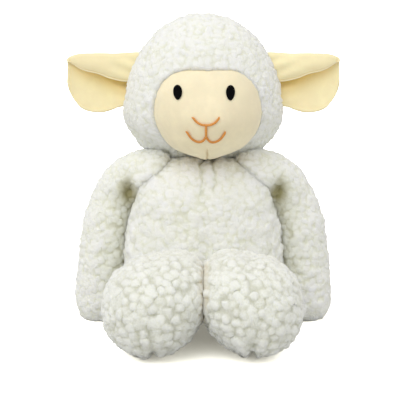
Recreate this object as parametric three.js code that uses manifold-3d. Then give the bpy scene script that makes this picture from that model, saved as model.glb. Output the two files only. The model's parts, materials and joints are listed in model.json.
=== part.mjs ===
// A plush sheep that sits on the floor with its legs stretched forward.
// Millimetres, +Z up. The face looks along -Y, and left and right are the sheep's own.
// Every sewn part is a skin of cloth panels with a padding of fibre inside it.

import * as THREE from 'three';
import { mergeVertices } from 'three/addons/utils/BufferGeometryUtils.js';
import Module from 'manifold-3d';

const wasm = await Module();
wasm.setup();

// Cloth, seams and clearances
const fleeceDepth = 6; // fleece backing together with its curly pile
const faceClothDepth = 2; // short velvety cloth of the face
const earClothDepth = 1.3; // each of the two layers of an ear
const seamGap = 0.3; // between two panels that are sewn edge to edge
const paddingGap = 0.8; // between a skin and the fibre inside it
const restingFlat = 0.5; // how deep a soft form is pressed flat where it stands

// Torso: a barrel-shaped seat, round about the axis of both hips, that rises to the neck
const torsoWidth = 140;
const seatDepth = 108; // front to back, and also the height of the barrel
const torsoHeight = 148;
const torsoSquareness = 3.2;
const basePanelWidth = 78;
const basePanelDepth = 60;
const sideSeamSetback = 8; // side seams lie this far behind the hip axis
const beanBagHeight = 34;
const beanBagDip = 7; // sag in the middle of the bean bag's top
const neckOpeningWidth = 36;

// Head: an egg with its long end up
const headWidth = 140;
const headFront = 57; // from the middle of the head to the brow
const headBack = 60;
const crownRise = 88;
const throatDrop = 47.5;
const headSetback = 3; // the middle of the head lies this far behind the hip axis
const neckOverlap = 8.5; // how far the head settles into the top of the torso
const nodReach = 15; // degrees each way

// Face: a domed panel that bulges out of the hood
const faceHalfWidth = 49.1;
const faceTop = 40.7;
const faceBottom = 44;
const faceRise = 8; // the face's middle lies this far above the middle of the head
const faceShift = 3.4; // the panel was sewn in a little towards the sheep's left
const faceProud = 68.5; // from the middle of the head to the front of the dome
const faceRoot = 21; // where the dome starts, in front of the middle of the head
const faceSquareness = 2.5;
const chinDartLength = 17;
const chinDartWidth = 0.9;
const chinDartDepth = 0.9;

// Embroidery
const eyeWidth = 7.4;
const eyeHeight = 12;
const eyeThickness = 1.2;
const eyeSpacing = 44.6;
const eyeRise = 27.6; // above the middle of the head
const eyeShift = 0.7; // both eyes, beside the middle of the head
const threadWidth = 2;
const noseShift = 2.4;
const noseWidth = 22.2;
const noseDrop = 6.2;
const noseRise = 7.9; // upper ends of the nose, above the middle of the head
const noseFlatness = 2.6; // power of the nose bow's curve
const lipSeamLength = 10.4; // from the nose down to the mouth
const mouthWidth = 32.6;
const mouthCornerRise = 3.7; // corners above the middle of the mouth
const mouthSag = 5.2; // lowest points below the middle of the mouth

// Ears: a leaf of two cloths, folded forward along its top edge
const earLength = 64; // from its seam on the hood to the tip
const earSpan = 243; // tip to tip
const earHeight = 53;
const earTopRise = 54.6; // upper edge above the middle of the head
const earFoldDepth = 10.5; // outside depth of the fold next to the head
const earTipDepth = 6.4; // the same at the tip
const earSetback = 3; // behind the middle of the head
const earCup = 5; // how far the lower edge curls forward
const earHingeRise = 28; // above the middle of the head
const earSwing = 20; // degrees each way

// Arms
const shoulderHeight = 134;
const shoulderInset = 22; // the arm's padding starts this far inside the torso's side
const handSpread = 22.2; // from the torso's side out to the middle of the hand
const armSetback = 5;
const shoulderRadius = 20.5;
const wristRadius = 22;
const handRadius = 24;
const armSquareness = 4.5;
const armAxisTurn = 18; // degrees that the swing leads outward
const armSwingBack = -10;
const armSwingAhead = 100;

// Legs
const footWidth = 83;
const footHeight = 82;
const legReach = 159; // from the hip axis to the front of the sole
const thighWidth = 62;
const thighHeight = 64;
const thighClearance = 2; // under the thigh
const legStart = 14; // in front of the hip axis
const legSquareness = 2.6;
const legSwingDown = -60;
const legSwingUp = 30;

// Tail
const tailLength = 40;
const tailWidth = 27;
const tailThickness = 19;
const tailRootHeight = 52;
const tailEndHeight = 15;
const tailSwing = 60;

// Shapes that no length sets: shares of the sizes above
const torsoRiseShares = [
  0, 0.02, 0.09, 0.32, 0.78, 1.02, 1, 0.88, 0.62, 0.38, 0.2, 0.08,
  0.02, 0, 0, 0, 0, 0, 0, 0, 0, 0, 0, 0,
]; // every 15 degrees, from straight ahead over the top
const browOutlineShares = [1, 1.017, 1.045, 1.061, 1.048, 1.007, 1]; // brow from the side to the top
const jawOutlineShares = [1, 0.992, 0.975, 0.967, 0.937, 0.943, 1]; // jaw from the side to the chin
const armOutShares = [0, 0.46, 0.68, 0.806, 0.906, 0.95, 0.983, 1];
const armDropShares = [0, 0.03, 0.1, 0.21, 0.36, 0.58, 0.79, 1];
const armSwellShares = [0, 0.3, 0.4, 0.55, 0.9, 1]; // shoulder to wrist, then to hand
const legOutShares = [0, 0.55, 0.9, 1, 1];
const legAheadShares = [0, 0.33, 0.55, 0.76, 1];
const legLiftShares = [0, 0.12, 0.6, 1, 1];
const chinSetbackShare = 0.5; // how far the hood draws back under the face
const throatRiseShare = 0.12; // how much shallower the hood gets from the neck towards the chin
const footPressShare = 0.15; // swells the foot above towards the other foot, and slims it below
const legSwellShares = [0, 0.12, 0.42, 0.84, 1.06, 1.12, 1.1];
const earPlaceShares = [0, 0.14, 0.28, 0.43, 0.57, 0.71, 0.82, 0.91, 0.97, 1];
const earBottomShares = [0.86, 0.88, 0.91, 0.965, 1, 0.965, 0.875, 0.74, 0.56, 0.4];
const earTopShares = [0, 0, 0, 0, 0, 0.005, 0.015, 0.035, 0.065, 0.12];
const earFlapShares = [0.46, 0.47, 0.47, 0.42, 0.345, 0.295, 0.245, 0.18, 0.145, 0.17];

// Faces per form
const torsoSides = 28;
const torsoRings = 14;
const headSides = 28;
const headRings = 14;
const faceSides = 24;
const faceRings = 16;
const limbSides = 14;
const limbRings = 12;
const paddingSides = 14;
const paddingRings = 8;
const threadSides = 6;

// Places that follow from the sizes
const seatRadius = seatDepth / 2;
const hipHeight = seatRadius - restingFlat;
const torsoRise = torsoHeight - hipHeight - seatRadius;
const headMiddle = new THREE.Vector3(0, headSetback, torsoHeight - neckOverlap + throatDrop);
const faceMiddle = new THREE.Vector3(faceShift, headMiddle.y - faceRoot, headMiddle.z + faceRise);
const faceDome = faceProud - faceRoot;
const overrun = torsoWidth; // cutting blocks reach past what they cut by this much
const leftSide = 1;
const rightSide = -1;

const hipHinge = {
  at: new THREE.Vector3(0, 0, hipHeight),
  axis: new THREE.Vector3(-1, 0, 0),
  range: [legSwingDown, legSwingUp],
};
const neckHinge = {
  at: headMiddle,
  axis: new THREE.Vector3(1, 0, 0),
  range: [-nodReach, nodReach],
};

// Colours, read from the photograph
const cloth = (color, roughness) => new THREE.MeshStandardMaterial({ color, roughness, metalness: 0 });
const fleece = () => cloth(0xf1f0e6, 0.95);
const creamPlush = () => cloth(0xf6e6ba, 0.85);
const blackThread = () => cloth(0x0c0b0b, 0.45);
const tanThread = () => cloth(0xd58a45, 0.5);
const fibre = () => cloth(0xfafaf7, 1);
const beanCloth = () => cloth(0xd9d6cc, 0.9);

// Smooth value between evenly spaced shares. A round table runs on into its own start.
function shareAt(shares, place, round = false) {
  const last = shares.length - 1;
  const steps = round ? shares.length : last;
  const at = (round ? THREE.MathUtils.euclideanModulo(place, 1) : THREE.MathUtils.clamp(place, 0, 1)) * steps;
  const from = Math.min(Math.floor(at), steps - 1);
  const pick = (i) =>
    round ? shares[(i + shares.length) % shares.length] : shares[THREE.MathUtils.clamp(i, 0, last)];
  const [a, b, c, d] = [pick(from - 1), pick(from), pick(from + 1), pick(from + 2)];
  const f = at - from;
  return b + 0.5 * f * (c - a + f * (2 * a - 5 * b + 4 * c - d + f * (3 * (b - c) + d - a)));
}

// Turns a geometry into a solid that can be joined and cut
function solid(geometry) {
  const bare = geometry.clone();
  for (const name of Object.keys(bare.attributes)) {
    if (name !== 'position') bare.deleteAttribute(name);
  }
  const merged = mergeVertices(bare);
  return new wasm.Manifold(
    new wasm.Mesh({
      numProp: 3,
      vertProperties: new Float32Array(merged.attributes.position.array),
      triVerts: new Uint32Array(merged.index.array),
    }),
  );
}

// Turns a finished solid into a named part
function part(name, body, material) {
  const mesh = body.getMesh();
  const geometry = new THREE.BufferGeometry();
  geometry.setAttribute('position', new THREE.BufferAttribute(new Float32Array(mesh.vertProperties), 3));
  geometry.setIndex(new THREE.BufferAttribute(new Uint32Array(mesh.triVerts), 1));
  geometry.computeVertexNormals();
  const made = new THREE.Mesh(geometry, material);
  made.name = name;
  return made;
}

// Moves every point of a unit sphere to where the form wants it
function shapedSphere(sides, rings, place) {
  const geometry = new THREE.SphereGeometry(1, sides, rings);
  const points = geometry.attributes.position;
  const point = new THREE.Vector3();
  for (let i = 0; i < points.count; i += 1) {
    point.fromBufferAttribute(points, i);
    const reach = Math.hypot(point.x, point.z);
    const made = place(point.y, reach, Math.atan2(point.z, point.x));
    points.setXYZ(i, made.x, made.y, made.z);
  }
  return geometry;
}

// How wide a rounded form still is at a share of its half length
const roundedEnd = (along, squareness) =>
  Math.max(0, 1 - Math.abs(along) ** squareness) ** (1 / squareness);

// A form with its poles on the X axis and its own reach at each angle, seen from the side
function barrel(middle, halfWidth, reachAt, squareness, sides, rings) {
  return shapedSphere(sides, rings, (pole, ring, angle) => {
    const reach = ring > 0 ? reachAt(angle) * roundedEnd(pole, squareness) : 0;
    return new THREE.Vector3(
      middle.x + pole * halfWidth,
      middle.y - Math.cos(angle) * reach,
      middle.z + Math.sin(angle) * reach,
    );
  });
}

// A stuffed tube along a curve, with rounded ends and its own width and height on the way
function stuffedTube(curve, sideways, sizeAt, squareness, inset, sides, rings, pressShare = 0) {
  const length = curve.getLength();
  const trim = inset / length;
  return shapedSphere(sides, rings, (pole, ring, angle) => {
    const along = (1 - pole) / 2;
    const share = trim + along * (1 - 2 * trim);
    const ahead = curve.getTangentAt(share);
    const across = sideways.clone().addScaledVector(ahead, -sideways.dot(ahead)).normalize();
    const up = new THREE.Vector3().crossVectors(ahead, across);
    const [halfWidth, halfHeight] = sizeAt(share);
    const press = 2 * pressShare * Math.sin(angle) * Math.max(0, -Math.cos(angle));
    const swell = ring > 0 ? roundedEnd(pole, squareness) * (1 + press) : 0;
    return curve
      .getPointAt(share)
      .addScaledVector(across, Math.cos(angle) * (halfWidth - inset) * swell)
      .addScaledVector(up, Math.sin(angle) * (halfHeight - inset) * swell);
  });
}

// A closed body through rings that all have as many points, with flat ends
function loft(rings) {
  const count = rings[0].length;
  const points = rings.flat();
  const faces = [];
  for (let row = 0; row + 1 < rings.length; row += 1) {
    for (let i = 0; i < count; i += 1) {
      const a = row * count + i;
      const b = row * count + ((i + 1) % count);
      faces.push(a, b, a + count, b, b + count, a + count);
    }
  }
  const half = count / 2;
  for (let i = 0; i + 1 < half; i += 1) {
    const [a, b, c, d] = [i, i + 1, count - 1 - i, count - 2 - i];
    const end = (rings.length - 1) * count;
    faces.push(a, c, b, b, c, d);
    faces.push(end + a, end + b, end + c, end + b, end + d, end + c);
  }
  const geometry = new THREE.BufferGeometry();
  geometry.setAttribute(
    'position',
    new THREE.Float32BufferAttribute(points.flatMap((p) => [p.x, p.y, p.z]), 3),
  );
  geometry.setIndex(faces);
  return geometry;
}

// The geometry as it stands after a turn about a hinge
function turned(geometry, hinge, degrees) {
  const turn = new THREE.Matrix4()
    .makeTranslation(hinge.at.x, hinge.at.y, hinge.at.z)
    .multiply(new THREE.Matrix4().makeRotationAxis(hinge.axis, THREE.MathUtils.degToRad(degrees)))
    .multiply(new THREE.Matrix4().makeTranslation(-hinge.at.x, -hinge.at.y, -hinge.at.z));
  return geometry.clone().applyMatrix4(turn);
}

// What a fixed neighbour sweeps, seen from a piece that turns about the hinge. The steps are
// closest near rest, where the two lie nearest each other.
function sweptSolids(neighbour, hinge, steps) {
  const [low, high] = hinge.range;
  const angles = [0, low];
  for (let i = 1; i <= steps; i += 1) angles.push(high * (i / steps) ** 2);
  return angles.map((angle) => solid(turned(neighbour, hinge, -angle)));
}

const cut = (body, ...tools) => tools.reduce((left, tool) => left.subtract(tool), body);

function block(low, high) {
  const size = new THREE.Vector3().subVectors(high, low);
  const middle = new THREE.Vector3().addVectors(low, high).multiplyScalar(0.5);
  return solid(new THREE.BoxGeometry(size.x, size.y, size.z).translate(middle.x, middle.y, middle.z));
}

// Everything on one side of a plane across an axis, kept clear of it by half a seam
function halfSpace(axis, at, direction) {
  const low = new THREE.Vector3(-overrun, -overrun, -overrun).multiplyScalar(2);
  const high = low.clone().negate();
  low.z += torsoHeight;
  high.z += torsoHeight;
  if (direction > 0) low[axis] = at + seamGap / 2;
  else high[axis] = at - seamGap / 2;
  return block(low, high);
}

const underFloor = block(
  new THREE.Vector3(-overrun, -overrun * 2, -overrun),
  new THREE.Vector3(overrun, overrun * 2, 0),
);

// Torso form
function torsoForm(inset) {
  const reachAt = (angle) =>
    seatRadius + torsoRise * shareAt(torsoRiseShares, angle / (2 * Math.PI), true) - inset;
  return barrel(hipHinge.at, torsoWidth / 2 - inset, reachAt, torsoSquareness, torsoSides, torsoRings);
}

// Half the torso's width at a height above the hips
const torsoSideAt = (height) =>
  (torsoWidth / 2) * roundedEnd((height - hipHeight) / (torsoHeight - hipHeight), torsoSquareness);

// Head form: its four reaches joined by quarter ellipses
function headForm(inset) {
  const reachAt = (angle) => {
    const ahead = Math.cos(angle) > 0;
    const below = ahead ? Math.max(0, -Math.asin(Math.sin(angle))) : 0;
    const tuck = chinSetbackShare * THREE.MathUtils.smoothstep(below, 0, Math.PI / 3);
    const lift = throatRiseShare * THREE.MathUtils.smoothstep(Math.PI / 2 - below, 0, Math.PI / 6);
    const level = ahead ? headFront * (1 - tuck) : headBack;
    const upright = Math.sin(angle) > 0 ? crownRise : throatDrop * (ahead ? 1 - lift : 1);
    return 1 / Math.hypot(Math.cos(angle) / level, Math.sin(angle) / upright) - inset;
  };
  return barrel(headMiddle, headWidth / 2 - inset, reachAt, 2, headSides, headRings);
}

// Reach of the face's outline at an angle seen from the front, 0 to the side and a quarter turn up
function faceOutline(angle) {
  const upward = Math.sin(angle) > 0;
  const quarter = Math.abs(Math.asin(Math.sin(angle))) / (Math.PI / 2);
  const tall = upward ? faceTop : faceBottom;
  const base = THREE.MathUtils.lerp(faceHalfWidth, tall, quarter);
  return base * shareAt(upward ? browOutlineShares : jawOutlineShares, quarter);
}

// Face dome: its pole looks straight ahead, and its back lies inside the head
function faceForm(inset) {
  return shapedSphere(faceSides, faceRings, (pole, ring, turn) => {
    const angle = Math.PI - turn;
    const spread = ring > 0 ? roundedEnd(pole, faceSquareness) * (faceOutline(angle) - inset) : 0;
    const depth = pole > 0 ? faceDome - inset : faceRoot - inset;
    return new THREE.Vector3(
      faceMiddle.x + Math.cos(angle) * spread,
      faceMiddle.y - pole * depth,
      faceMiddle.z + Math.sin(angle) * spread,
    );
  });
}

// Front of the face's cloth at a place seen from the front
function faceFrontAt(x, z) {
  const [dx, dz] = [x - faceMiddle.x, z - faceMiddle.z];
  const share = Math.hypot(dx, dz) / faceOutline(Math.atan2(dz, dx));
  return faceMiddle.y - faceDome * roundedEnd(share, faceSquareness);
}

function upright(width, depth, y = 0) {
  return solid(
    new THREE.CylinderGeometry(width / 2, width / 2, torsoHeight * 2, headSides)
      .rotateX(Math.PI / 2)
      .scale(1, depth / width, 1)
      .translate(0, y, 0),
  );
}

// The shallow hollow that the padding above presses into the top of the bean bag
function beanBagHollow(lift) {
  const lowest = beanBagHeight - beanBagDip + lift;
  return solid(
    new THREE.SphereGeometry(torsoWidth, torsoSides, torsoSides).translate(0, 0, lowest + torsoWidth),
  );
}

// Torso: two front panels, a back panel and a base panel round one padding and a bag of beans
function torso() {
  const neckDish = [-1, 0, 1].flatMap((way) =>
    [headForm(-seamGap), faceForm(-seamGap)].map((form) => solid(turned(form, neckHinge, way * nodReach))),
  );
  const neckOpening = upright(neckOpeningWidth, neckOpeningWidth, headSetback)
    .intersect(halfSpace('z', hipHeight, 1));
  const skin = cut(solid(torsoForm(0)), solid(torsoForm(fleeceDepth)), underFloor, neckOpening, ...neckDish);
  const below = halfSpace('z', hipHeight, -1);
  const base = upright(basePanelWidth, basePanelDepth).intersect(below);
  const aroundBase = upright(basePanelWidth + seamGap * 2, basePanelDepth + seamGap * 2).intersect(below);
  const ahead = cut(skin, aroundBase).intersect(halfSpace('y', sideSeamSetback, -1));
  const behind = cut(skin, aroundBase).intersect(halfSpace('y', sideSeamSetback, 1));
  const inside = cut(solid(torsoForm(fleeceDepth + paddingGap)), ...neckDish);
  const bag = cut(inside.intersect(halfSpace('z', beanBagHeight, -1)), beanBagHollow(0));
  const bagSpace = cut(halfSpace('z', beanBagHeight + seamGap, -1), beanBagHollow(seamGap));
  return [
    part('body_front_left', ahead.intersect(halfSpace('x', 0, 1)), fleece()),
    part('body_front_right', ahead.intersect(halfSpace('x', 0, -1)), fleece()),
    part('body_back', behind, fleece()),
    part('body_base', skin.intersect(base), fleece()),
    part('body_padding', cut(inside, bagSpace), fibre()),
    part('seat_bean_bag', bag, beanCloth()),
  ];
}

// Head: a fleece hood with openings for the face and the neck, and its padding
function head() {
  const neckOpening = upright(neckOpeningWidth, neckOpeningWidth, headSetback)
    .intersect(halfSpace('z', headMiddle.z, -1));
  const hood = cut(solid(headForm(0)), solid(headForm(fleeceDepth)), solid(faceForm(-seamGap)), neckOpening);
  const padding = solid(headForm(fleeceDepth + paddingGap))
    .add(solid(faceForm(faceClothDepth + paddingGap)));
  return [part('head_hood', hood, fleece()), part('head_padding', padding, fibre())];
}

// Face: one shell of cloth, drawn in by a dart under the mouth
function face() {
  const shell = cut(
    solid(faceForm(0)),
    solid(faceForm(faceClothDepth)),
    solid(headForm(fleeceDepth + paddingGap - seamGap)),
  );
  const dartLow = new THREE.Vector3(
    faceShift - chinDartWidth / 2,
    -overrun,
    faceMiddle.z - faceBottom,
  );
  const dartHigh = new THREE.Vector3(
    faceShift + chinDartWidth / 2,
    faceMiddle.y,
    faceMiddle.z - faceBottom + chinDartLength,
  );
  const dart = cut(block(dartLow, dartHigh), solid(faceForm(chinDartDepth)));
  return part('face_panel', cut(shell, dart), creamPlush());
}

// One eye: an oval pad of satin stitch that follows the face
function eye(name, side) {
  const middle = { x: eyeShift + (side * eyeSpacing) / 2, z: headMiddle.z + eyeRise };
  const form = shapedSphere(paddingSides, paddingRings, (pole, ring, angle) => {
    const x = middle.x - (eyeWidth / 2) * ring * Math.cos(angle);
    const z = middle.z + (eyeHeight / 2) * ring * Math.sin(angle);
    return new THREE.Vector3(x, faceFrontAt(x, z) - seamGap - (eyeThickness / 2) * (1 + pole), z);
  });
  return part(name, solid(form), blackThread());
}

// A line of thread over the face through places seen from the front
function threadLine(places, steps) {
  const lift = seamGap + threadWidth / 2;
  const path = new THREE.CatmullRomCurve3(
    places.map(([x, z]) => new THREE.Vector3(x, faceFrontAt(x, z) - lift, z)),
  );
  const section = new THREE.Shape();
  for (let i = 0; i < threadSides; i += 1) {
    const angle = (i * 2 * Math.PI) / threadSides;
    const [a, b] = [(Math.cos(angle) * threadWidth) / 2, (Math.sin(angle) * threadWidth) / 2];
    if (i === 0) section.moveTo(a, b);
    else section.lineTo(a, b);
  }
  section.closePath();
  return solid(new THREE.ExtrudeGeometry(section, { steps, extrudePath: path, bevelEnabled: false }));
}

// Nose and mouth: stitched lines, the nose with the seam of the lip below it
function embroidery() {
  const lipTop = headMiddle.z + noseRise - noseDrop;
  const mouth = lipTop - lipSeamLength;
  const at = (x, z) => [noseShift + x, z];
  const bowShares = [-1, -0.72, -0.38, 0, 0.38, 0.72, 1];
  const bow = (x, width, topZ, drop) =>
    bowShares.map((share) => {
      const lift = drop * Math.abs(share) ** noseFlatness;
      return at(x + (share * width) / 2, topZ - drop + lift);
    });
  const nose = threadLine(bow(0, noseWidth, lipTop + noseDrop, noseDrop), 16).add(
    threadLine([at(0, lipTop), at(0, lipTop - lipSeamLength / 2), at(0, mouth + threadWidth + seamGap)], 6),
  );
  const smile = (side) => {
    const half = mouthWidth / 2;
    const outShares = [0, 0.2, 0.45, 0.75, 1];
    const sagShares = [0, 0.85, 1, 0.45, -mouthCornerRise / mouthSag];
    return threadLine(outShares.map((out, i) => at(side * out * half, mouth - mouthSag * sagShares[i])), 12);
  };
  return [
    part('nose_embroidery', nose, tanThread()),
    part('mouth_embroidery', smile(leftSide).add(smile(rightSide)), tanThread()),
  ];
}

// Ear hinge: along the seam, which leans in towards the crown as the hood does
function earHinge(side) {
  const headSideAt = (rise) => (headWidth / 2) * Math.sqrt(1 - (rise / crownRise) ** 2);
  const lean = ((headWidth / 2) ** 2 * earHingeRise) / (crownRise ** 2 * headSideAt(earHingeRise));
  return {
    at: new THREE.Vector3(
      side * (headSideAt(earHingeRise) + earClothDepth),
      headMiddle.y + earSetback,
      headMiddle.z + earHingeRise,
    ),
    axis: new THREE.Vector3(-lean, 0, side).normalize(),
    range: [-earSwing, earSwing],
  };
}

// One cloth of an ear between two depths, measured from the middle of its two layers
function earCloth(side, outer, inner) {
  const backSteps = 5;
  const foldSteps = 4;
  const flapSteps = 2;
  const top = headMiddle.z + earTopRise;
  const rings = earPlaceShares.map((place, i) => {
    const x = side * (earSpan / 2 - earLength * (1 - place));
    const depth = THREE.MathUtils.lerp(earFoldDepth, earTipDepth, place) - 2 * earClothDepth;
    const radius = depth / 2;
    const foldZ = top - earHeight * earTopShares[i] - radius - earClothDepth;
    const bottomZ = top - earHeight * earBottomShares[i];
    const flapZ = Math.min(top - earHeight * earFlapShares[i], foldZ - earClothDepth / 2);
    const backY = headMiddle.y + earSetback + radius;
    const line = [];
    for (let k = 0; k < backSteps; k += 1) {
      const share = k / backSteps;
      const curl = earCup * (1 - share) ** 2 * Math.min(1, 4 * place * (1.1 - place));
      line.push([backY - curl, THREE.MathUtils.lerp(bottomZ, foldZ, share)]);
    }
    for (let k = 0; k <= foldSteps; k += 1) {
      const angle = (k * Math.PI) / foldSteps;
      line.push([backY - radius + radius * Math.cos(angle), foldZ + radius * Math.sin(angle)]);
    }
    for (let k = 1; k <= flapSteps; k += 1) {
      line.push([backY - 2 * radius, THREE.MathUtils.lerp(foldZ, flapZ, k / flapSteps)]);
    }
    const moved = (offset) =>
      line.map(([y, z], k) => {
        const before = line[Math.max(0, k - 1)];
        const after = line[Math.min(line.length - 1, k + 1)];
        const long = Math.hypot(after[0] - before[0], after[1] - before[1]);
        const [ny, nz] = [(after[1] - before[1]) / long, -(after[0] - before[0]) / long];
        return new THREE.Vector3(x, y + ny * offset, z + nz * offset);
      });
    return [...moved(outer), ...moved(inner).reverse()];
  });
  return loft(side > 0 ? rings : rings.map((ring) => [...ring].reverse()));
}

function ear(name, side) {
  const clear = sweptSolids(headForm(-seamGap), earHinge(side), 1);
  const back = solid(earCloth(side, earClothDepth, seamGap / 2));
  const front = solid(earCloth(side, -seamGap / 2, -earClothDepth));
  return [
    part(`${name}_back`, cut(back, ...clear), creamPlush()),
    part(`${name}_front`, cut(front, ...clear), creamPlush()),
  ];
}

// Arm hinge: at the shoulder, turned so that the hand swings forward and outward past the leg
function armHinge(side) {
  const turn = THREE.MathUtils.degToRad(armAxisTurn);
  return {
    at: new THREE.Vector3(side * torsoSideAt(shoulderHeight), armSetback, shoulderHeight),
    axis: new THREE.Vector3(-Math.cos(turn), -side * Math.sin(turn), 0),
    range: [armSwingBack, armSwingAhead],
  };
}

function armForm(side, inset) {
  const start = torsoSideAt(shoulderHeight) - shoulderInset;
  const out = torsoWidth / 2 + handSpread - start;
  const drop = shoulderHeight + restingFlat;
  const curve = new THREE.CatmullRomCurve3(
    armOutShares.map((share, i) =>
      new THREE.Vector3(side * (start + out * share), armSetback, shoulderHeight - drop * armDropShares[i])),
  );
  const sizeAt = (share) => {
    const swell = shareAt(armSwellShares, share);
    const upper = THREE.MathUtils.lerp(shoulderRadius, wristRadius, Math.min(1, share * 2));
    const radius = THREE.MathUtils.lerp(upper, handRadius, swell * share);
    return [radius, radius];
  };
  return stuffedTube(curve, new THREE.Vector3(0, 1, 0), sizeAt, armSquareness, inset, limbSides, limbRings);
}

// Arm: a front and a back panel sewn round its padding
function arm(name, side) {
  const clear = [...sweptSolids(torsoForm(-seamGap), armHinge(side), 7), underFloor];
  const skin = cut(solid(armForm(side, 0)), solid(armForm(side, fleeceDepth)), ...clear);
  const inside = solid(armForm(side, fleeceDepth + paddingGap));
  return [
    part(`${name}_front`, skin.intersect(halfSpace('y', armSetback, -1)), fleece()),
    part(`${name}_back`, skin.intersect(halfSpace('y', armSetback, 1)), fleece()),
    part(`${name}_padding`, cut(inside, ...clear), fibre()),
  ];
}

function legForm(side, inset) {
  const footX = footWidth / 2 + seamGap / 2;
  const hipX = thighWidth / 2 + seamGap / 2;
  const thighZ = thighHeight / 2 + thighClearance;
  const footZ = footHeight / 2 - restingFlat;
  const curve = new THREE.CatmullRomCurve3(
    legAheadShares.map((share, i) =>
      new THREE.Vector3(
        side * THREE.MathUtils.lerp(hipX, footX, legOutShares[i]),
        -THREE.MathUtils.lerp(legStart, legReach, share),
        THREE.MathUtils.lerp(thighZ, footZ, legLiftShares[i]),
      )),
  );
  const sizeAt = (share) => {
    const swell = shareAt(legSwellShares, share);
    return [
      THREE.MathUtils.lerp(thighWidth, footWidth, swell) / 2,
      THREE.MathUtils.lerp(thighHeight, footHeight, swell) / 2,
    ];
  };
  const outward = new THREE.Vector3(side, 0, 0);
  const press = side * footPressShare;
  return stuffedTube(curve, outward, sizeAt, legSquareness, inset, limbSides, limbRings, press);
}

// Leg: an inner and an outer panel, sewn along the sole, round the padding
function leg(name, side) {
  const seat = torsoForm(-seamGap);
  const clear = [solid(seat), solid(turned(seat, hipHinge, -legSwingUp)), underFloor];
  const ownSide = halfSpace('x', 0, side);
  const skin = cut(solid(legForm(side, 0)), solid(legForm(side, fleeceDepth)), ...clear).intersect(ownSide);
  const inside = solid(legForm(side, fleeceDepth + paddingGap));
  const seam = (side * footWidth) / 2;
  return [
    part(`${name}_inner`, skin.intersect(halfSpace('x', seam, -side)), fleece()),
    part(`${name}_outer`, skin.intersect(halfSpace('x', seam, side)), fleece()),
    part(`${name}_padding`, cut(inside, ...clear).intersect(ownSide), fibre()),
  ];
}

// Tail hinge: across the back of the seat at the tail's root
const tailHinge = {
  at: new THREE.Vector3(0, Math.sqrt(seatRadius ** 2 - (tailRootHeight - hipHeight) ** 2), tailRootHeight),
  axis: new THREE.Vector3(1, 0, 0),
  range: [0, tailSwing],
};

// Tail: a small stuffed drop that hangs down against the seat
function tail() {
  const drop = tailRootHeight - tailEndHeight;
  const back = Math.sqrt(Math.max(0, tailLength ** 2 - drop ** 2));
  const root = tailHinge.at.clone();
  const end = new THREE.Vector3(0, root.y + back, tailEndHeight);
  const bowHeight = (tailRootHeight + tailEndHeight) / 2 + drop / 8;
  const bow = new THREE.Vector3(0, root.y + tailThickness / 2, bowHeight);
  const curve = new THREE.CatmullRomCurve3([root, bow, end]);
  const sizeAt = () => [tailWidth / 2, tailThickness / 2];
  const form = stuffedTube(curve, new THREE.Vector3(1, 0, 0), sizeAt, 2, 0, paddingSides, paddingRings);
  const clear = sweptSolids(torsoForm(-seamGap), tailHinge, 2);
  return part('tail', cut(solid(form), ...clear), fleece());
}

const sheep = new THREE.Group();
sheep.name = 'plush_sheep';
sheep.add(...torso(), ...head(), face());
sheep.add(eye('eye_left', leftSide), eye('eye_right', rightSide), ...embroidery());
sheep.add(...ear('ear_left', leftSide), ...ear('ear_right', rightSide));
sheep.add(...arm('arm_left', leftSide), ...arm('arm_right', rightSide));
sheep.add(...leg('leg_left', leftSide), ...leg('leg_right', rightSide));
sheep.add(tail());

// The origin is under the middle of the whole sheep, on the floor
const bounds = new THREE.Box3().setFromObject(sheep);
const middle = bounds.getCenter(new THREE.Vector3());
for (const piece of sheep.children) piece.position.set(-middle.x, -middle.y, 0);
sheep.updateMatrixWorld(true);

export default sheep;
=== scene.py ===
"""Dresses a seated plush sheep: curly fleece over stuffed forms, a velvety face, folded ears and stitching.

Metres, in the frame's axes: the face looks along -Y, and left and right are the sheep's own.
"""

import json
import math

import bmesh
import bpy
import numpy as np
from bpy.props import FloatProperty, FloatVectorProperty, IntProperty, PointerProperty
from bpy.types import Operator, Panel, PropertyGroup
from mathutils import Matrix, Vector, kdtree, noise


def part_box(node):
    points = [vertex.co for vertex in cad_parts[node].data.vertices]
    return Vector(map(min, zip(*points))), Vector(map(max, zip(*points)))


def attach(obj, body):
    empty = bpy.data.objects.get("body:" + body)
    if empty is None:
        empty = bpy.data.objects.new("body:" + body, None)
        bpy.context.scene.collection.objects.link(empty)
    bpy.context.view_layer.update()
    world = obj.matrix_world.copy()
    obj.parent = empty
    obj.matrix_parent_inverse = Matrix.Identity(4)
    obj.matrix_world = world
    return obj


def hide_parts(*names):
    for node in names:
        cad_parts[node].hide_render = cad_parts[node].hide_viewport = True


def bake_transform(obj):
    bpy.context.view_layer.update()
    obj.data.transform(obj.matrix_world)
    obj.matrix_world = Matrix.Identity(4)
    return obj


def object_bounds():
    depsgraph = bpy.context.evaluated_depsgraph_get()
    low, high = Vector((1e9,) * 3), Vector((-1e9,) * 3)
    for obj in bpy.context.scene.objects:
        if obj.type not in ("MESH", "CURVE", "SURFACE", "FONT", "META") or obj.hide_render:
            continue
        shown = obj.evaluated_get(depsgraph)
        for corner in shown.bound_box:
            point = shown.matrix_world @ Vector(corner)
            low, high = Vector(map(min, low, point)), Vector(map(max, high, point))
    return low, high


bl_info = {
    "name": "Plush Sheep",
    "version": (1, 0, 0),
    "blender": (4, 5, 0),
    "location": "View3D > Sidebar > Plush Sheep",
    "description": "Dresses a seated plush sheep over its frame",
    "category": "Add Mesh",
}

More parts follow.
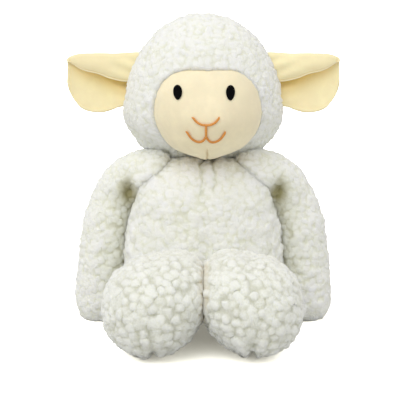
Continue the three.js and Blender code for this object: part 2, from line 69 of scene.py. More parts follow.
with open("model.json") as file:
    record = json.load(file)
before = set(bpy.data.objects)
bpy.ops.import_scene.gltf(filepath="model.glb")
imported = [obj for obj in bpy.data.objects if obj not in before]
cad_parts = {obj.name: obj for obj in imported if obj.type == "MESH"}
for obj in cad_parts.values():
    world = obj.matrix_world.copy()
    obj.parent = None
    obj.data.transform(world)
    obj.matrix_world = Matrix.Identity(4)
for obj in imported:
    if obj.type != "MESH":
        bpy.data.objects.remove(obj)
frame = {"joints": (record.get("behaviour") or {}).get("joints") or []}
cad_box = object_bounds()

LEFT, RIGHT = 1, -1
SIDE_NAMES = {LEFT: "left", RIGHT: "right"}

# Shapes that no length sets: shares of the sizes below
TORSO_RISE_SHARES = (0, 0.02, 0.09, 0.34, 0.82, 1.1, 1, 0.88, 0.62, 0.38, 0.2, 0.08, 0.02) + (0,) * 11
BROW_OUTLINE_SHARES = (1, 1.022, 1.058, 1.072, 1.05, 1.007, 1)
JAW_OUTLINE_SHARES = (1, 0.992, 0.975, 0.967, 0.937, 0.943, 1)
ARM_OUT_SHARES = (0, 0.44, 0.655, 0.79, 0.9, 0.95, 0.983, 1)
ARM_DROP_SHARES = (-0.028, 0.008, 0.092, 0.21, 0.36, 0.58, 0.79, 1)
ARM_SWELL_SHARES = (0, 0.3, 0.4, 0.55, 0.9, 1)
LEG_OUT_SHARES = (0, 0.55, 0.9, 1, 1)
LEG_AHEAD_SHARES = (0, 0.33, 0.55, 0.76, 1)
LEG_LIFT_SHARES = (0, 0.12, 0.6, 1, 1)
LEG_SWELL_SHARES = (0, 0.12, 0.42, 0.84, 1.06, 1.12, 1.1)
EAR_PLACE_SHARES = (0, 0.14, 0.28, 0.43, 0.57, 0.71, 0.82, 0.91, 0.97, 1)
EAR_BOTTOM_SHARES = (0.86, 0.875, 0.905, 0.96, 1, 0.985, 0.92, 0.80, 0.65, 0.48)
EAR_TOP_SHARES = (0, 0, 0, 0, 0, 0.003, 0.012, 0.03, 0.058, 0.11)
EAR_FLAP_SHARES = (0.46, 0.47, 0.47, 0.42, 0.345, 0.295, 0.245, 0.18, 0.145, 0.17)
BOW_SHARES = (-1, -0.72, -0.38, 0, 0.38, 0.72, 1)
SMILE_OUT_SHARES = (0, 0.2, 0.45, 0.75, 1)
SMILE_SAG_SHARES = (0, 0.85, 1, 0.45, -0.72)


def hinge(joint_name):
    """Where a joint of the frame lies."""
    return Vector(next(j for j in frame["joints"] if j["name"] == joint_name)["pos_m"])


def length(label, default, description):
    return FloatProperty(name=label, description=description, default=default, unit="LENGTH", precision=4)


def share(label, default, description):
    return FloatProperty(name=label, description=description, default=default, min=0.0, subtype="FACTOR")


def colour(label, default, description):
    return FloatVectorProperty(
        name=label, description=description, default=default, size=3, min=0.0, max=1.0, subtype="COLOR"
    )


class SheepForms(PropertyGroup):
    """Sizes of the stuffed forms."""

    torso_width: length("Torso Width", 0.140, "Across the seat")
    torso_height: length("Torso Height", 0.148, "Floor to neck")
    torso_squareness: share("Torso Squareness", 3.2, "How full the torso is towards its sides")
    waist: share("Waist", 0.045, "How much the torso narrows below the arms")
    shoulder_fullness: share("Shoulder Fullness", 0.05, "How much the torso widens at the shoulders")
    head_width: length("Head Width", 0.1390, "Across the hood")
    head_front: length("Head Front", 0.057, "Middle of the head to the brow")
    head_back: length("Head Back", 0.060, "Middle of the head to the nape")
    crown_rise: length("Crown Rise", 0.0885, "Middle of the head to the crown")
    chin_setback: share("Chin Setback", 0.5, "How far the hood draws back under the face")
    throat_drop: length("Throat Drop", 0.0475, "Middle of the head to the throat")
    shoulder_inset: length("Shoulder Inset", 0.024, "The arm starts this far inside the torso's side")
    hand_spread: length("Hand Spread", 0.0222, "Side of the torso to the middle of the hand")
    shoulder_radius: length("Shoulder Radius", 0.0215, "Radius of the arm at the shoulder")
    wrist_radius: length("Wrist Radius", 0.0225, "Radius of the arm at its middle")
    hand_radius: length("Hand Radius", 0.0252, "Radius of the hand")
    thigh_width: length("Thigh Width", 0.062, "Across the thigh")
    thigh_height: length("Thigh Height", 0.070, "Height of the thigh")
    foot_width: length("Foot Width", 0.0860, "Across the foot")
    foot_height: length("Foot Height", 0.0825, "Height of the foot")
    leg_reach: length("Leg Reach", 0.157, "Hip to the front of the sole")
    leg_start: length("Leg Start", 0.014, "The leg starts this far in front of the hip")
    inset: length("Stuffing Inset", 0.0012, "The stuffing starts this far inside the fleece's outer face")


class SheepFace(PropertyGroup):
    """Sizes of the face, its stitching and the ears."""

    half_width: length("Face Half Width", 0.0500, "Middle of the face to its side")
    top: length("Face Top", 0.0420, "Middle of the face to the brow seam")
    bottom: length("Face Bottom", 0.0440, "Middle of the face to the chin")
    rise: length("Face Rise", 0.008, "Middle of the face above the middle of the head")
    shift: length("Face Shift", 0.0034, "The panel was sewn in a little towards the left")
    corner_fullness: share("Corner Fullness", 0.02, "How much wider the face is above the right eye")
    root: length("Face Root", 0.021, "Where the dome starts, in front of the middle of the head")
    proud: length("Face Proud", 0.0685, "Middle of the head to the front of the dome")
    muzzle: length("Muzzle", 0.0075, "How far the muzzle stands out from the dome")
    muzzle_shift: length("Muzzle Shift", 0.008, "Fullest part of the muzzle beside the middle of the face")
    muzzle_drop: length("Muzzle Drop", 0.006, "Fullest part of the muzzle below the middle of the face")
    muzzle_spread: length("Muzzle Spread", 0.027, "Reach of the muzzle")
    eye_width: length("Eye Width", 0.0076, "Across one eye")
    eye_height: length("Eye Height", 0.0120, "Height of one eye")
    eye_spacing: length("Eye Spacing", 0.0446, "Between the middles of the eyes")
    eye_rise: length("Eye Rise", 0.0276, "Eyes above the middle of the head")
    eye_shift: length("Eye Shift", 0.0007, "Both eyes beside the middle of the head")
    thread: length("Thread Width", 0.0020, "Width of the stitched lines")
    nose_shift: length("Nose Shift", 0.0024, "Nose beside the middle of the head")
    nose_width: length("Nose Width", 0.0222, "Across the nose bow")
    nose_drop: length("Nose Drop", 0.0062, "Depth of the nose bow")
    nose_rise: length("Nose Rise", 0.0079, "Ends of the nose bow above the middle of the head")
    lip_length: length("Lip Length", 0.0104, "From the nose down to the mouth")
    mouth_width: length("Mouth Width", 0.0326, "Across the mouth")
    mouth_sag: length("Mouth Sag", 0.0052, "Depth of each half of the mouth")
    ear_length: length("Ear Length", 0.067, "From its seam on the hood to the tip")
    ear_height: length("Ear Height", 0.053, "Height of one ear")
    ear_top_rise: length("Ear Top Rise", 0.0546, "Upper edge above the middle of the head")
    ear_fold: length("Ear Fold", 0.0105, "Depth of the fold next to the head")
    ear_tip_fold: length("Ear Tip Fold", 0.0066, "Depth of the fold at the tip")
    ear_thickness: length("Ear Thickness", 0.0026, "Both cloths of an ear together")
    ear_cup: length("Ear Cup", 0.005, "How far the lower edge curls forward")
    ear_setback: length("Ear Setback", 0.003, "Behind the middle of the head")


class SheepFleece(PropertyGroup):
    """The pile and the colours."""

    head_curl: length("Head Curl", 0.0048, "Width of one curl on the head")
    body_curl: length("Body Curl", 0.0052, "Width of one curl on the torso and arms")
    foot_curl: length("Foot Curl", 0.0066, "Width of one curl on the feet")
    curl_depth: share("Curl Depth", 0.36, "Depth of the curls as a share of their width")
    voxel: length("Cloth Step", 0.0036, "Size of the cloth's squares while it is stuffed")
    seed: IntProperty(name="Seed", description="Which scatter of curls", default=7, min=0)
    tip: colour("Curl Tips", (0.943, 0.960, 0.895), "Fleece where it stands out")
    # Painted shade: the hollows between the curls get this darker, warmer colour
    hollow_shade: colour("Curl Hollows", (0.868, 0.876, 0.775), "Fleece between the curls")
    # Painted shade where two pieces press together, in the armpits and in the pleats under the chin
    crevice_shade: colour("Crevices", (0.36, 0.33, 0.16), "Fleece pressed between two pieces")
    # Painted shade where the feet press together
    between_feet_shade: colour("Between Feet", (0.80, 0.73, 0.56), "Fleece where the feet press together")
    face: colour("Face Cloth", (0.93, 0.832, 0.597), "Velvety cloth of the face")
    ear: colour("Ear Cloth", (0.99, 0.866, 0.55), "Velvety cloth of the ears")
    # Painted shade deep in the face's dart and under the jaw along its edge
    face_crease: colour("Face Crease", (0.60, 0.42, 0.20), "Face cloth deep in its dart")
    # Painted shade under the ear's flap and in the groove of its welt
    ear_crease: colour("Ear Crease", (0.97, 0.66, 0.14), "Ear cloth deep in its fold")
    edging: colour("Ear Edging", (0.96, 0.87, 0.64), "Ear cloth along its sewn edge")
    black: colour("Eye Thread", (0.0015, 0.0015, 0.0018), "Thread of the eyes")
    tan: colour("Mouth Thread", (0.72, 0.31, 0.085), "Thread of the nose and mouth")


class SheepStage(PropertyGroup):
    """Camera and light."""

    elevation: FloatProperty(
        name="Camera Elevation", description="Above the horizon", default=math.radians(12), subtype="ANGLE"
    )
    distance: length("Camera Distance", 1.25, "Camera to what it looks at")
    focal_pixels: FloatProperty(name="Focal Length", description="In pixels of the frame", default=1389.0)
    frame_pixels: FloatProperty(name="Frame", description="Width of the frame in pixels", default=416.0)
    aim_side: length("Aim Side", 0.00405, "What the camera looks at, beside the middle")
    aim_height: length("Aim Height", 0.1027, "What the camera looks at, above the floor")
    key_strength: FloatProperty(name="Key Light", description="Strength of the sun lamp", default=1.24)
    sky_strength: FloatProperty(name="Sky Light", description="Strength of the world", default=0.68)


def share_at(shares, place, closed=False):
    """Smooth value between evenly spaced shares. A closed table runs on into its own start."""
    count = len(shares)
    steps = count if closed else count - 1
    at = (place % 1.0 if closed else min(max(place, 0.0), 1.0)) * steps
    start = min(int(at), steps - 1)
    f = at - start
    around = [start + k for k in (-1, 0, 1, 2)]
    if closed:
        a, b, c, d = (shares[i % count] for i in around)
    else:
        a, b, c, d = (shares[min(max(i, 0), count - 1)] for i in around)
    return b + 0.5 * f * (c - a + f * (2 * a - 5 * b + 4 * c - d + f * (3 * (b - c) + d - a)))


def blend_value(low, high, amount):
    return low + (high - low) * amount


def rounded_end(along, squareness):
    """How wide a rounded form still is at a share of its half length."""
    return max(0.0, 1 - abs(along) ** squareness) ** (1 / squareness)


def smooth_step(low, high, values):
    t = np.clip((values - low) / (high - low), 0, 1)
    return t * t * (3 - 2 * t)


def bell(away, spread):
    """1 in the middle, and softly less with the distance from it."""
    return np.exp(-((away / spread) ** 2))


def unevenness(points, step):
    """Soft noise at each point, whose lumps are about as wide as the step."""
    return np.array([noise.noise(Vector(point) / step) for point in points])


# Mesh work


def new_piece(name, form):
    """Makes an object of a bmesh and shows it."""
    mesh = bpy.data.meshes.new(name)
    form.to_mesh(mesh)
    form.free()
    piece = bpy.data.objects.new(name, mesh)
    bpy.context.collection.objects.link(piece)
    return piece


def shaped_ball(name, columns, rows, place):
    """A round form: a sphere whose every point is moved to where place puts it."""
    form = bmesh.new()
    bmesh.ops.create_uvsphere(form, u_segments=columns, v_segments=rows, radius=1.0)
    for vert in form.verts:
        vert.co = place(vert.co.copy())
    bmesh.ops.recalc_face_normals(form, faces=form.faces)
    return new_piece(name, form)


def finished_mesh(piece):
    """Puts the result of a piece's modifiers into its mesh and takes the modifiers off."""
    depsgraph = bpy.context.evaluated_depsgraph_get()
    made = bpy.data.meshes.new_from_object(piece.evaluated_get(depsgraph), depsgraph=depsgraph)
    piece.modifiers.clear()
    old = piece.data
    piece.data = made
    bpy.data.meshes.remove(old)
    return piece


def points_of(mesh):
    found = np.empty(len(mesh.vertices) * 3, np.float32)
    mesh.vertices.foreach_get("co", found)
    return found.reshape(-1, 3).astype(float)


def normals_of(mesh):
    found = np.empty(len(mesh.vertices) * 3, np.float32)
    mesh.vertex_normals.foreach_get("vector", found)
    return found.reshape(-1, 3).astype(float)


def move_points(mesh, points):
    mesh.vertices.foreach_set("co", points.astype(np.float32).ravel())
    mesh.update()


def store(mesh, name, values):
    """Keeps one number for each point under a name that a material can read."""
    kept = mesh.attributes.new(name, "FLOAT", "POINT")
    kept.data.foreach_set("value", values.astype(np.float32))


def stored(mesh, name):
    """The numbers that are kept for each point under a name."""
    values = np.empty(len(mesh.vertices), np.float32)
    mesh.attributes[name].data.foreach_get("value", values)
    return values


def store_places(mesh):
    """Keeps each point's place at rest, so that a pattern stays on the cloth when it bends."""
    kept = mesh.attributes.new("cloth_place", "FLOAT_VECTOR", "POINT")
    kept.data.foreach_set("vector", points_of(mesh).astype(np.float32).ravel())


def subdivided(piece, levels):
    smooth = piece.modifiers.new("Smooth", "SUBSURF")
    smooth.levels = levels
    smooth.render_levels = levels
    return finished_mesh(piece)


def shade_smooth(piece):
    piece.data.polygons.foreach_set("use_smooth", [True] * len(piece.data.polygons))


def mirrored(piece, name):
    """A copy of a piece on the other side of the middle plane."""
    twin = bpy.data.objects.new(name, piece.data.copy())
    bpy.context.collection.objects.link(twin)
    twin.data.transform(Matrix.Scale(-1, 4, Vector((1, 0, 0))))
    twin.data.flip_normals()
    return twin


# Stuffing

# The cloth while it swells
CLOTH_QUALITY = 5
CLOTH_MASS = 0.3
STUFFING_PRESSURE = 4.0
STUFFING_STEPS = 20
# Share of the swell that is even all over, and the pull from which a point counts as sewn
LOFT_SHARE = 0.6
SEWN_FROM = 0.02
# How far stuffing pushes the cloth out: torso and legs, then the firmer head and arms
SOFT_SWELL = 0.004
FIRM_SWELL = 0.0035
# Reach of a seam's pull, and how often stuffed cloth is divided to carry its curls
SEAM_SPREAD = 0.0035
PILE_LEVELS = 2


def stuffed(piece, voxel, seam_pull, travel):
    """Swells a closed form as stuffing does: cloth under pressure, held back where it is sewn."""
    even = piece.modifiers.new("Even", "REMESH")
    even.mode = "VOXEL"
    even.voxel_size = voxel
    finished_mesh(piece)
    start = points_of(piece.data)
    held = seam_pull(start)
    loft = normals_of(piece.data) * (travel * LOFT_SHARE * (1 - held))[:, None]
    sewn = piece.vertex_groups.new(name="sewn")
    for i in np.nonzero(held > SEWN_FROM)[0]:
        sewn.add([int(i)], float(min(1.0, held[i])), "REPLACE")
    cloth = piece.modifiers.new("Stuffing", "CLOTH")
    cloth.settings.quality = CLOTH_QUALITY
    cloth.settings.mass = CLOTH_MASS
    cloth.settings.use_pressure = True
    cloth.settings.uniform_pressure_force = STUFFING_PRESSURE
    cloth.settings.vertex_group_mass = "sewn"
    cloth.settings.effector_weights.gravity = 0.0
    cloth.point_cache.frame_start = 1
    cloth.point_cache.frame_end = STUFFING_STEPS
    for step in range(1, STUFFING_STEPS + 1):
        bpy.context.scene.frame_set(step)
    depsgraph = bpy.context.evaluated_depsgraph_get()
    moved = points_of(piece.evaluated_get(depsgraph).data)
    piece.modifiers.clear()
    piece.vertex_groups.clear()
    bpy.context.scene.frame_set(1)
    shift = moved - start
    reach = np.linalg.norm(shift, axis=1, keepdims=True)
    shift *= np.minimum(1.0, travel / np.maximum(reach, 1e-9))
    move_points(piece.data, start + shift + loft)
    return piece


# Fleece

# One curl, in shares of its width or as plain ratios
CURL_LIFT = 0.1
CURL_RADII = (0.56, 0.74)
CURL_RISES = (0.62, 1.15)
CURL_STRETCHES = (1.0, 1.45)
CURL_LEAN = 0.45
CURL_ROUNDNESS = 0.7
CURL_GATHER = 0.16
LOOSE_SHARE = 0.27
FRIZZ = 0.42
# Curls side by side: how many are looked at, how sharply they part, their peak and their middle level
NEAR_CURLS = 5
CURL_PARTING = 5
CURL_PEAK = 1.2
CURL_LEVEL = 0.45
# In mean widths of a curl: how far noise pushes their outlines, and the sink that paints shade as dark as the
# curls' hollows
WANDER_STEP = 0.9
WANDER_REACH = 0.30
DARK_SINK = 1.6
# In metres: fine fibres, loose swells of the cloth, and what the pile keeps clear of the floor
FIBRE_STEP = 0.0021
LOOSE_STEP = 0.011
FLOOR_GAP = 0.0003
# Which scatter of curls a piece starts from, added to the seed
HEAD_SCATTER, ARM_SCATTER, LEG_SCATTER, TAIL_SCATTER = 10, 20, 30, 40


def tree_of(places):
    """A tree that finds the nearest of some places."""
    tree = kdtree.KDTree(len(places))
    for i, place in enumerate(places):
        tree.insert(place, i)
    tree.balance()
    return tree


def scattered(points, spacing, seed):
    """Picks points that keep their own spacing from each other, as curls on a fleece do."""
    tree = tree_of(points)
    free = np.ones(len(points), bool)
    chosen = []
    for i in np.random.default_rng(seed).permutation(len(points)):
        if free[i]:
            chosen.append(i)
            for _, near, _ in tree.find_range(points[i], spacing[i]):
                free[near] = False
    return np.array(chosen)


def wandering(points, scale, amount):
    """Points pushed about by soft noise, so that nothing round stays quite round."""
    pushed = [noise.noise_vector(Vector(point) / scale) for point in points]
    return points + np.array(pushed) * amount


def rooted_curls(points, normals, width, seed):
    """Where the curls stand, and the radius, rise, stretch, lie and lean of each."""
    roots = scattered(points, width, seed)
    chance = np.random.default_rng(seed + 1)
    count = len(roots)
    centre = points[roots] + normals[roots] * (width[roots] * CURL_LIFT)[:, None]
    radius = width[roots] * chance.uniform(*CURL_RADII, count)
    rise = chance.uniform(*CURL_RISES, count)
    stretch = chance.uniform(*CURL_STRETCHES, count)
    lie = chance.normal(size=(count, 3))
    lie -= normals[roots] * np.sum(lie * normals[roots], axis=1)[:, None]
    lie /= np.linalg.norm(lie, axis=1)[:, None]
    lean = lie * chance.uniform(-CURL_LEAN, CURL_LEAN, count)[:, None]
    return centre, radius, rise, stretch, lie, lean


def grow_pile(piece, width, seed, depth_share, sink=None, calm=None, shade_power=1.0, frizz=FRIZZ):
    """Raises curls all over a piece.

    Width is the curl's width at each point of the mesh. Sink draws the cloth in, in metres, and
    calm flattens the curls, from 0 to 1.
    """
    mesh = piece.data
    points, normals = points_of(mesh), normals_of(mesh)
    centre, radius, rise, stretch, lie, lean = rooted_curls(points, normals, width, seed)
    mean_width = float(width.mean())
    drifted = wandering(points, mean_width * WANDER_STEP, mean_width * WANDER_REACH)
    tree = tree_of(centre)
    near = np.array([[found[1] for found in tree.find_n(point, NEAR_CURLS)] for point in drifted])

    away = drifted[:, None, :] - centre[near]
    along = np.sum(away * lie[near], axis=2)
    square = np.sum(away**2, axis=2) - along**2 * (1 - 1 / stretch[near] ** 2)
    inside = 1 - square / (radius[near] ** 2 * stretch[near])
    bulbs = rise[near] * np.clip(inside, 1e-4, None) ** CURL_ROUNDNESS
    weight = bulbs**CURL_PARTING
    total = weight.sum(axis=1)
    height = np.minimum(total ** (1 / CURL_PARTING), CURL_PEAK)
    weight /= total[:, None]

    depth = width * depth_share
    if calm is not None:
        depth = depth * (1 - calm)
    push = normals * (depth * (height - CURL_LEVEL))[:, None]
    push += np.sum(lean[near] * weight[:, :, None], axis=1) * (depth * height)[:, None]
    sideways = np.sum(away * weight[:, :, None], axis=1)
    sideways -= normals * np.sum(sideways * normals, axis=1)[:, None]
    push += sideways * (CURL_GATHER * height)[:, None]
    fine = unevenness(points, FIBRE_STEP)
    loose = unevenness(points, LOOSE_STEP)
    push += normals * (fine * depth * frizz + loose * width * LOOSE_SHARE)[:, None]
    if sink is not None:
        push -= normals * sink[:, None]
    moved = points + push
    moved[:, 2] = np.maximum(moved[:, 2], FLOOR_GAP)
    move_points(mesh, moved)
    # Painted shade: the colour darkens between the curls and where the cloth is sunk
    shade = height if sink is None else height - np.maximum(sink, 0) / (mean_width * DARK_SINK)
    store(mesh, "pile", np.clip(shade, 0, 1) ** shade_power)
    store_places(mesh)
    shade_smooth(piece)
    return piece


# Materials

# What holds all over a surface, by the shader's sockets
FLEECE_FINISH = {
    "Roughness": 1.0,
    "Specular IOR Level": 0.1,
    "Sheen Weight": 0.4,
    "Sheen Roughness": 0.6,
    "Subsurface Weight": 0.8,
    "Subsurface Radius": (0.012, 0.0118, 0.0105),
    "Subsurface Scale": 1.0,
}
VELVET_FINISH = {
    "Roughness": 0.9,
    "Specular IOR Level": 0.15,
    "Sheen Weight": 0.3,
    "Sheen Roughness": 0.45,
    "Subsurface Weight": 0.15,
    "Subsurface Radius": (0.004, 0.003, 0.002),
    "Subsurface Scale": 1.0,
}
THREAD_ROUGHNESS = 0.7
# Patterns: how many to a metre, and with how many finer layers
FLEECE_CLOUDS = (26, 2)
FLEECE_FIBRES = (620, 4)
FLEECE_FUZZ = (1900, 3)
VELVET_CLOUDS = (34, 3)
VELVET_STREAKS = (130, 4)
VELVET_NAP = (1500, 3)
EYE_STRANDS = (2600, 2)
MOUTH_STRANDS = (1800, 2)
PATTERN_ROUGHNESS = 0.6
STREAK_STRETCH = (1.0, 1.0, 0.8)
# Bumps: strength, and depth in metres
FIBRE_BUMP = (0.85, 0.0014)
FUZZ_BUMP = (0.5, 0.0004)
STREAK_BUMP = (0.30, 0.0008)
NAP_BUMP = (0.4, 0.0003)
STRAND_BUMP = (0.3, 0.0002)
# Between which values a pattern or the pile runs from one colour to the other
PATTERN_SPAN = (0.3, 0.7)
CLOUD_SPAN = (0.35, 0.65)
PILE_SPAN = (0.05, 0.85)
# How much darker and lighter than its own colour a surface gets
TIP_TINTS = (0.975, 1.02)
VELVET_TINTS = (0.94, 1.03)
THREAD_TINTS = (0.8, 1.15)
STREAK_TINT = 0.92
# How far single fibres shift the shade of a curl, and how strong the velvet's streaks are
STRAY_FIBRES = 0.24
STREAK_SHARE = 0.6
# Gloss of the threads, and the legs' fleece in shares of the other fleece's brightness: painted shade on the
# legs
EYE_GLOSS = 0.04
MOUTH_GLOSS = 0.15
LEG_SHADE_LEVEL = 0.93


def named_material(name):
    made = bpy.data.materials.new(name)
    made.use_nodes = True
    nodes = made.node_tree.nodes
    nodes.clear()
    out = nodes.new("ShaderNodeOutputMaterial")
    shader = nodes.new("ShaderNodeBsdfPrincipled")
    made.node_tree.links.new(shader.outputs["BSDF"], out.inputs["Surface"])
    return made, nodes, made.node_tree.links, shader


def read(nodes, name, output):
    """A node that hands over an attribute of the mesh."""
    reader = nodes.new("ShaderNodeAttribute")
    reader.attribute_name = name
    return reader.outputs[output]


def grain(nodes, links, place, scale, detail):
    made = nodes.new("ShaderNodeTexNoise")
    made.inputs["Scale"].default_value = scale
    made.inputs["Detail"].default_value = detail
    made.inputs["Roughness"].default_value = PATTERN_ROUGHNESS
    links.new(place, made.inputs["Vector"])
    return made.outputs["Fac"]


def mixed(nodes, links, amount, low, high):
    """Runs from one colour to another with an amount."""
    mix = nodes.new("ShaderNodeMix")
    mix.data_type = "RGBA"
    links.new(amount, mix.inputs["Factor"])
    for socket, value in ((mix.inputs[6], low), (mix.inputs[7], high)):
        if isinstance(value, bpy.types.NodeSocket):
            links.new(value, socket)
        else:
            socket.default_value = (*value, 1.0)
    return mix.outputs[2]


def ranged(nodes, links, value, low, high, to_low=0.0, to_high=1.0):
    fit = nodes.new("ShaderNodeMapRange")
    fit.interpolation_type = "SMOOTHSTEP"
    fit.inputs["From Min"].default_value = low
    fit.inputs["From Max"].default_value = high
    fit.inputs["To Min"].default_value = to_low
    fit.inputs["To Max"].default_value = to_high
    links.new(value, fit.inputs["Value"])
    return fit.outputs["Result"]


def roughened(nodes, links, shader, heights):
    """Chains bumps: each is (height, (strength, depth in metres))."""
    before = None
    for height, (strength, depth) in heights:
        bump = nodes.new("ShaderNodeBump")
        bump.inputs["Strength"].default_value = strength
        bump.inputs["Distance"].default_value = depth
        links.new(height, bump.inputs["Height"])
        if before is not None:
            links.new(before, bump.inputs["Normal"])
        before = bump.outputs["Normal"]
    links.new(before, shader.inputs["Normal"])


def finished(shader, finish):
    """Sets what holds all over the surface on the shader's own sockets."""
    for socket, value in finish.items():
        shader.inputs[socket].default_value = value


def scaled(value, factor):
    return tuple(min(1.0, channel * factor) for channel in value)


def fleece_material(name, level, pressed_shade_colour):
    """Curly fleece: bright tips, painted shade in hollows and crevices, fine fibres and a soft sheen."""
    fleece = bpy.context.scene.sheep_fleece
    made, nodes, links, shader = named_material(name)
    place = read(nodes, "cloth_place", "Vector")
    clouds = ranged(nodes, links, grain(nodes, links, place, *FLEECE_CLOUDS), *CLOUD_SPAN)
    # A level below 1 makes a darker copy of the fleece: painted shade
    darker, lighter = (scaled(fleece.tip, tint * level) for tint in TIP_TINTS)
    tips = mixed(nodes, links, clouds, darker, lighter)
    # Painted shade: a darker colour where the pile is low, between the curls
    hollows = scaled(fleece.hollow_shade, level**2)
    fibres = grain(nodes, links, place, *FLEECE_FIBRES)
    depth = nodes.new("ShaderNodeMath")
    depth.operation = "ADD"
    links.new(read(nodes, "pile", "Fac"), depth.inputs[0])
    links.new(ranged(nodes, links, fibres, *PATTERN_SPAN, -STRAY_FIBRES, STRAY_FIBRES), depth.inputs[1])
    shade = mixed(nodes, links, ranged(nodes, links, depth.outputs["Value"], *PILE_SPAN), hollows, tips)
    # Painted shade where pieces press together
    pressed = mixed(nodes, links, read(nodes, "crevice_shade", "Fac"), shade, pressed_shade_colour)
    links.new(pressed, shader.inputs["Base Color"])
    finished(shader, FLEECE_FINISH)
    fuzz = grain(nodes, links, place, *FLEECE_FUZZ)
    roughened(nodes, links, shader, ((fibres, FIBRE_BUMP), (fuzz, FUZZ_BUMP)))
    return made


def velvet_material(name, base, crease_shade):
    """Short velvety cloth: a soft nap with faint streaks, and painted shade in its creases."""
    made, nodes, links, shader = named_material(name)
    place = read(nodes, "cloth_place", "Vector")
    stretch = nodes.new("ShaderNodeMapping")
    stretch.inputs["Scale"].default_value = STREAK_STRETCH
    links.new(place, stretch.inputs["Vector"])
    streaks = grain(nodes, links, stretch.outputs["Vector"], *VELVET_STREAKS)
    clouds = ranged(nodes, links, grain(nodes, links, place, *VELVET_CLOUDS), *PATTERN_SPAN)
    darker, lighter = (scaled(base, tint) for tint in VELVET_TINTS)
    tone = mixed(nodes, links, clouds, darker, lighter)
    brushed = ranged(nodes, links, streaks, *PATTERN_SPAN, 0.0, STREAK_SHARE)
    napped = mixed(nodes, links, brushed, tone, scaled(base, STREAK_TINT))
    shade = mixed(nodes, links, read(nodes, "crease_shade", "Fac"), napped, crease_shade)
    edging = tuple(bpy.context.scene.sheep_fleece.edging)
    edged = mixed(nodes, links, read(nodes, "edging", "Fac"), shade, edging)
    links.new(edged, shader.inputs["Base Color"])
    finished(shader, VELVET_FINISH)
    nap = grain(nodes, links, place, *VELVET_NAP)
    roughened(nodes, links, shader, ((streaks, STREAK_BUMP), (nap, NAP_BUMP)))
    return made


def thread_material(name, base, strand_pattern, gloss):
    """Embroidery thread: a soft gloss over fine strands."""
    made, nodes, links, shader = named_material(name)
    place = read(nodes, "cloth_place", "Vector")
    strands = grain(nodes, links, place, *strand_pattern)
    darker, lighter = (scaled(base, tint) for tint in THREAD_TINTS)
    shade = mixed(nodes, links, ranged(nodes, links, strands, *PATTERN_SPAN), darker, lighter)
    links.new(shade, shader.inputs["Base Color"])
    finished(shader, {"Roughness": THREAD_ROUGHNESS, "Specular IOR Level": gloss})
    roughened(nodes, links, shader, ((strands, STRAND_BUMP),))
    return made


def material(name, make, *values):
    """The named material, made the first time that it is asked for."""
    found = bpy.data.materials.get(name)
    return found if found else make(name, *values)


def curly_fleece():
    """The fleece of every piece but the legs."""
    return material("curly_fleece", fleece_material, 1.0, tuple(bpy.context.scene.sheep_fleece.crevice_shade))


def dress(piece, made):
    piece.data.materials.clear()
    piece.data.materials.append(made)


# Torso

# Columns and rows of the ball that torso and head start from
FORM_GRID = (72, 48)
# The torso's cloth is a little coarser than the others, because it is the largest
TORSO_CLOTH_STEP = 1.06
TORSO_PILE = 0.72
WAIST_HEIGHT = 0.104
WAIST_SPREAD = 0.013
SHOULDER_HEIGHTS = (0.110, 0.122)
# Side seam: behind the hips, and from where beside the middle. Then how strongly each seam pulls.
SIDE_SEAM_SETBACK = 0.008
SIDE_SEAM_START = 0.03
FRONT_SEAM_PULL = 0.75
SIDE_SEAM_PULL = 0.55
# Fine line of the middle seam on the pile: between which places ahead and which heights it begins
MIDDLE_SEAM_SPREAD = 0.0014
MIDDLE_SEAM_DEPTH = 0.00048
MIDDLE_SEAM_AHEAD = (0.05, 0.03)
MIDDLE_SEAM_HEIGHTS = (0.085, 0.125)
# Lumps at the sides: their size and depth, and between which places beside the middle they begin
LUMP_STEP = 0.0075
LUMP_DEPTH = 0.0024
LUMPS_BESIDE = (0.048, 0.060)
# Pleats under the chin: place beside the middle, spread, and share of the full depth
PLEATS = ((-0.0015, 0.0014, 1.0), (0.0095, 0.0014, 0.9), (0.023, 0.003, 0.35), (-0.024, 0.003, 0.2))
PLEAT_DEPTH = 0.0024
PLEAT_AHEAD = (0.040, 0.020)
PLEAT_HEIGHTS = (0.112, 0.138)
# They sway a little and fan out below this height
PLEAT_SWAY = 0.0042
PLEAT_SWAY_STEP = 0.008
PLEAT_FAN_HEIGHT = 0.135
PLEAT_FAN = 5
# Armpit: beside the middle, ahead of the shoulder's hinge and above the floor
ARMPIT_BESIDE = 0.0663
ARMPIT_AHEAD = 0.021
ARMPIT_HEIGHT = 0.1230
ARMPIT_SPREAD = (0.0076, 0.020, 0.0115)
ARMPIT_DEPTH = 0.0080
# The pile's shade rises a little faster than its height on torso and head
SOFT_SHADE = 0.95


def middle_of_hips():
    hip = hinge("left_leg_swing")
    return Vector((0, hip.y, hip.z))


def torso_place(co):
    """Barrel-shaped seat, round about the axis of both hips, that rises to the neck."""
    forms = bpy.context.scene.sheep_forms
    hips = middle_of_hips()
    seat = hips.z
    rise = forms.torso_height - 2 * seat
    angle = math.atan2(co.z, -co.y)
    reach = seat + rise * share_at(TORSO_RISE_SHARES, angle / (2 * math.pi), closed=True) - forms.inset
    swell = rounded_end(co.x, forms.torso_squareness) * reach
    height = hips.z + math.sin(angle) * swell
    waist = forms.waist * math.exp(-(((height - WAIST_HEIGHT) / WAIST_SPREAD) ** 2))
    shoulder = forms.shoulder_fullness * float(smooth_step(*SHOULDER_HEIGHTS, height))
    return Vector((
        co.x * (forms.torso_width / 2 - forms.inset) * (1 - waist + shoulder),
        hips.y - math.cos(angle) * swell,
        height,
    ))


def torso_seams(points):
    """Held at the middle seam of the front and at the side seams."""
    hips = middle_of_hips()
    front = bell(points[:, 0], SEAM_SPREAD) * (points[:, 1] < hips.y)
    beside = np.abs(points[:, 0]) > SIDE_SEAM_START
    side = bell(points[:, 1] - hips.y - SIDE_SEAM_SETBACK, SEAM_SPREAD) * beside
    return np.clip(FRONT_SEAM_PULL * front + SIDE_SEAM_PULL * side, 0, 1)


